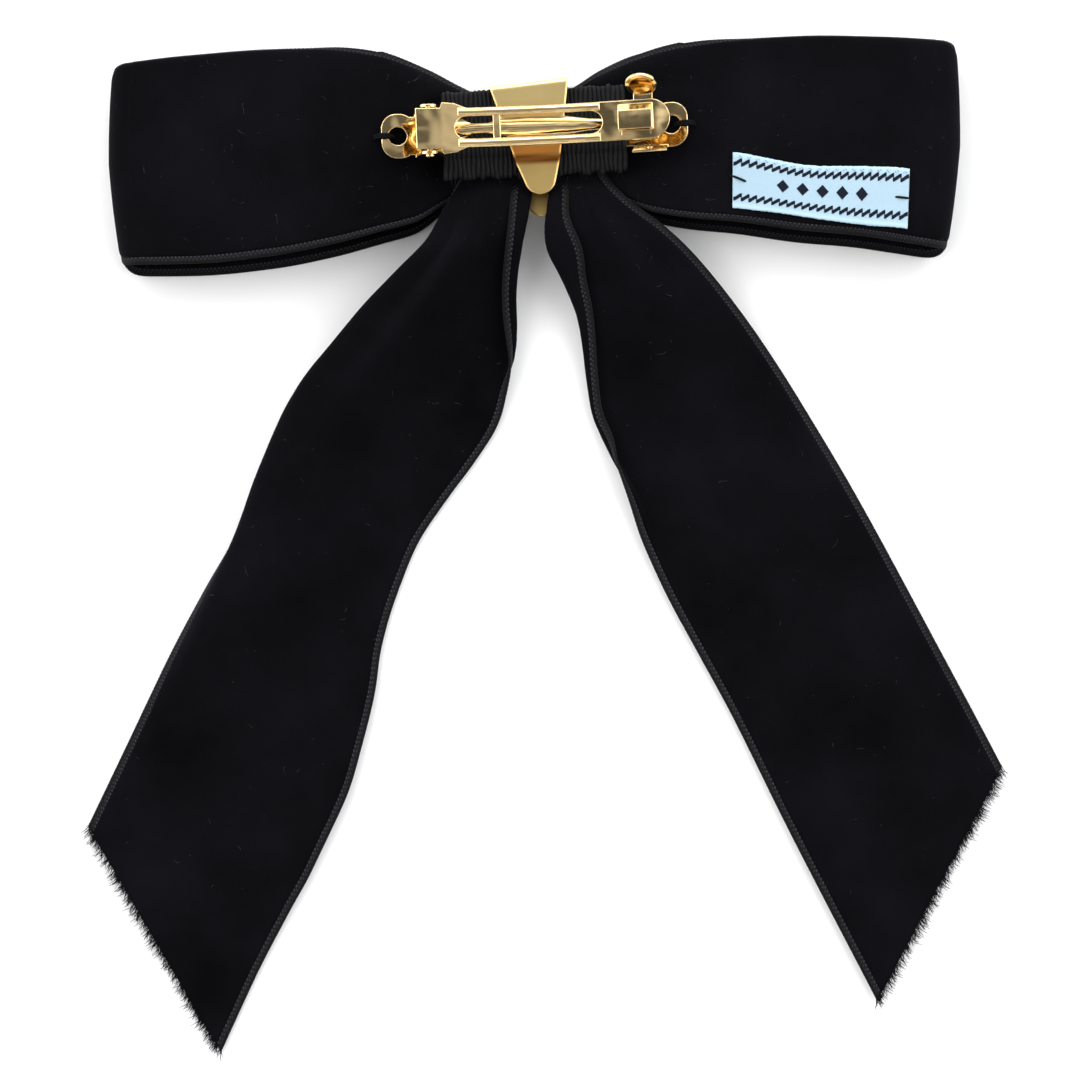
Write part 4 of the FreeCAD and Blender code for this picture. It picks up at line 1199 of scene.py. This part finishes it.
class BOW_OT_stage(bpy.types.Operator):
    """Makes the pale table, the soft lights and the sky"""
    bl_idname = "bow.stage"
    bl_label = "Table and lights"

    def execute(self, context):
        self.add_table()
        add_light("left_softbox", (-0.85, 0.25, 0.75), (0, -0.06, 0), (0.7, 0.9), 2.6, (1.0, 0.99, 0.98))
        add_light("right_softbox", (0.85, 0.1, 0.8), (0, -0.06, 0), (0.6, 0.8), 1.2, (0.98, 0.99, 1.0))
        add_light("back_softbox", (0.0, 0.95, 0.7), (0, -0.05, 0), (0.9, 0.5), 1.6, (1.0, 1.0, 1.0))
        self.add_sky(context.scene)
        context.scene.view_settings.view_transform = "Standard"
        return {"FINISHED"}

    def add_table(self):
        mesh = bpy.data.meshes.new("table")
        half, drop = 9.0, -0.00005
        corners = [(-half, -half, drop), (half, -half, drop), (half, half, drop), (-half, half, drop)]
        mesh.from_pydata(corners, [], [(0, 1, 2, 3)])
        mesh.materials.append(finish("table"))
        table = bpy.data.objects.new("table", mesh)
        bpy.context.scene.collection.objects.link(table)

    def add_sky(self, scene):
        """A plain room: bright walls and a darker patch overhead, which the polished metal mirrors."""
        world = bpy.data.worlds.new("studio")
        scene.world = world
        world.use_nodes = True
        tree = world.node_tree
        background = tree.nodes["Background"]
        spot = node(tree, "ShaderNodeTexCoord").outputs["Generated"]
        axes = node(tree, "ShaderNodeSeparateXYZ", {"Vector": spot}).outputs
        near = remap(tree, axes["Y"], -0.8, 0.1, 0.22)
        inputs = {"Vector": spot, "Scale": 5.0, "Detail": 1.0}
        mottle = node(tree, "ShaderNodeTexNoise", inputs).outputs["Fac"]
        patches = remap(tree, mottle, 0.36, 0.64, 0.3, 2.2)
        ramp = node(tree, "ShaderNodeValToRGB", {"Fac": axes["Z"]})
        stops = ramp.color_ramp.elements
        stops[0].position, stops[0].color = 0.0, (0.20, 0.15, 0.11, 1)
        stops[1].position, stops[1].color = 1.0, (0.24, 0.23, 0.22, 1)
        for where, tone in ((0.12, 0.6), (0.25, 2.6), (0.55, 3.0), (0.72, 1.2), (0.86, 0.55), (0.95, 0.32)):
            stop = stops.new(where)
            stop.color = (tone, tone, tone, 1)
        strength = product(tree, near, patches)
        set_inputs(tree, background, {"Color": ramp.outputs["Color"], "Strength": strength})


class BOW_PT_panel(bpy.types.Panel):
    """Lists the pieces of the bow"""
    bl_idname = "BOW_PT_panel"
    bl_label = "Hair bow"
    bl_space_type = "VIEW_3D"
    bl_region_type = "UI"
    bl_category = "Hair bow"

    def draw(self, context):
        for operator in OPERATORS:
            self.layout.operator(operator.bl_idname)
        for group in (context.scene.bow_sizes, context.scene.bow_colours):
            for key in group.bl_rna.properties.keys():
                if key not in ("rna_type", "name"):
                    self.layout.prop(group, key)


OPERATORS = (BOW_OT_camera, BOW_OT_stage, BOW_OT_loops, BOW_OT_tails, BOW_OT_pad, BOW_OT_metal,
             BOW_OT_stitches, BOW_OT_label)
CLASSES = (BowSizes, BowColours, *OPERATORS, BOW_PT_panel)


def register():
    for item in CLASSES:
        bpy.utils.register_class(item)
    bpy.types.Scene.bow_sizes = bpy.props.PointerProperty(type=BowSizes)
    bpy.types.Scene.bow_colours = bpy.props.PointerProperty(type=BowColours)


def unregister():
    del bpy.types.Scene.bow_sizes
    del bpy.types.Scene.bow_colours
    for item in reversed(CLASSES):
        bpy.utils.unregister_class(item)


def main():
    register()
    bpy.ops.bow.camera()
    bpy.ops.bow.stage()
    bpy.ops.bow.loops()
    bpy.ops.bow.tails()
    bpy.ops.bow.pad()
    bpy.ops.bow.metal()
    bpy.ops.bow.stitches()
    bpy.ops.bow.label()


if __name__ == "__main__":
    main()
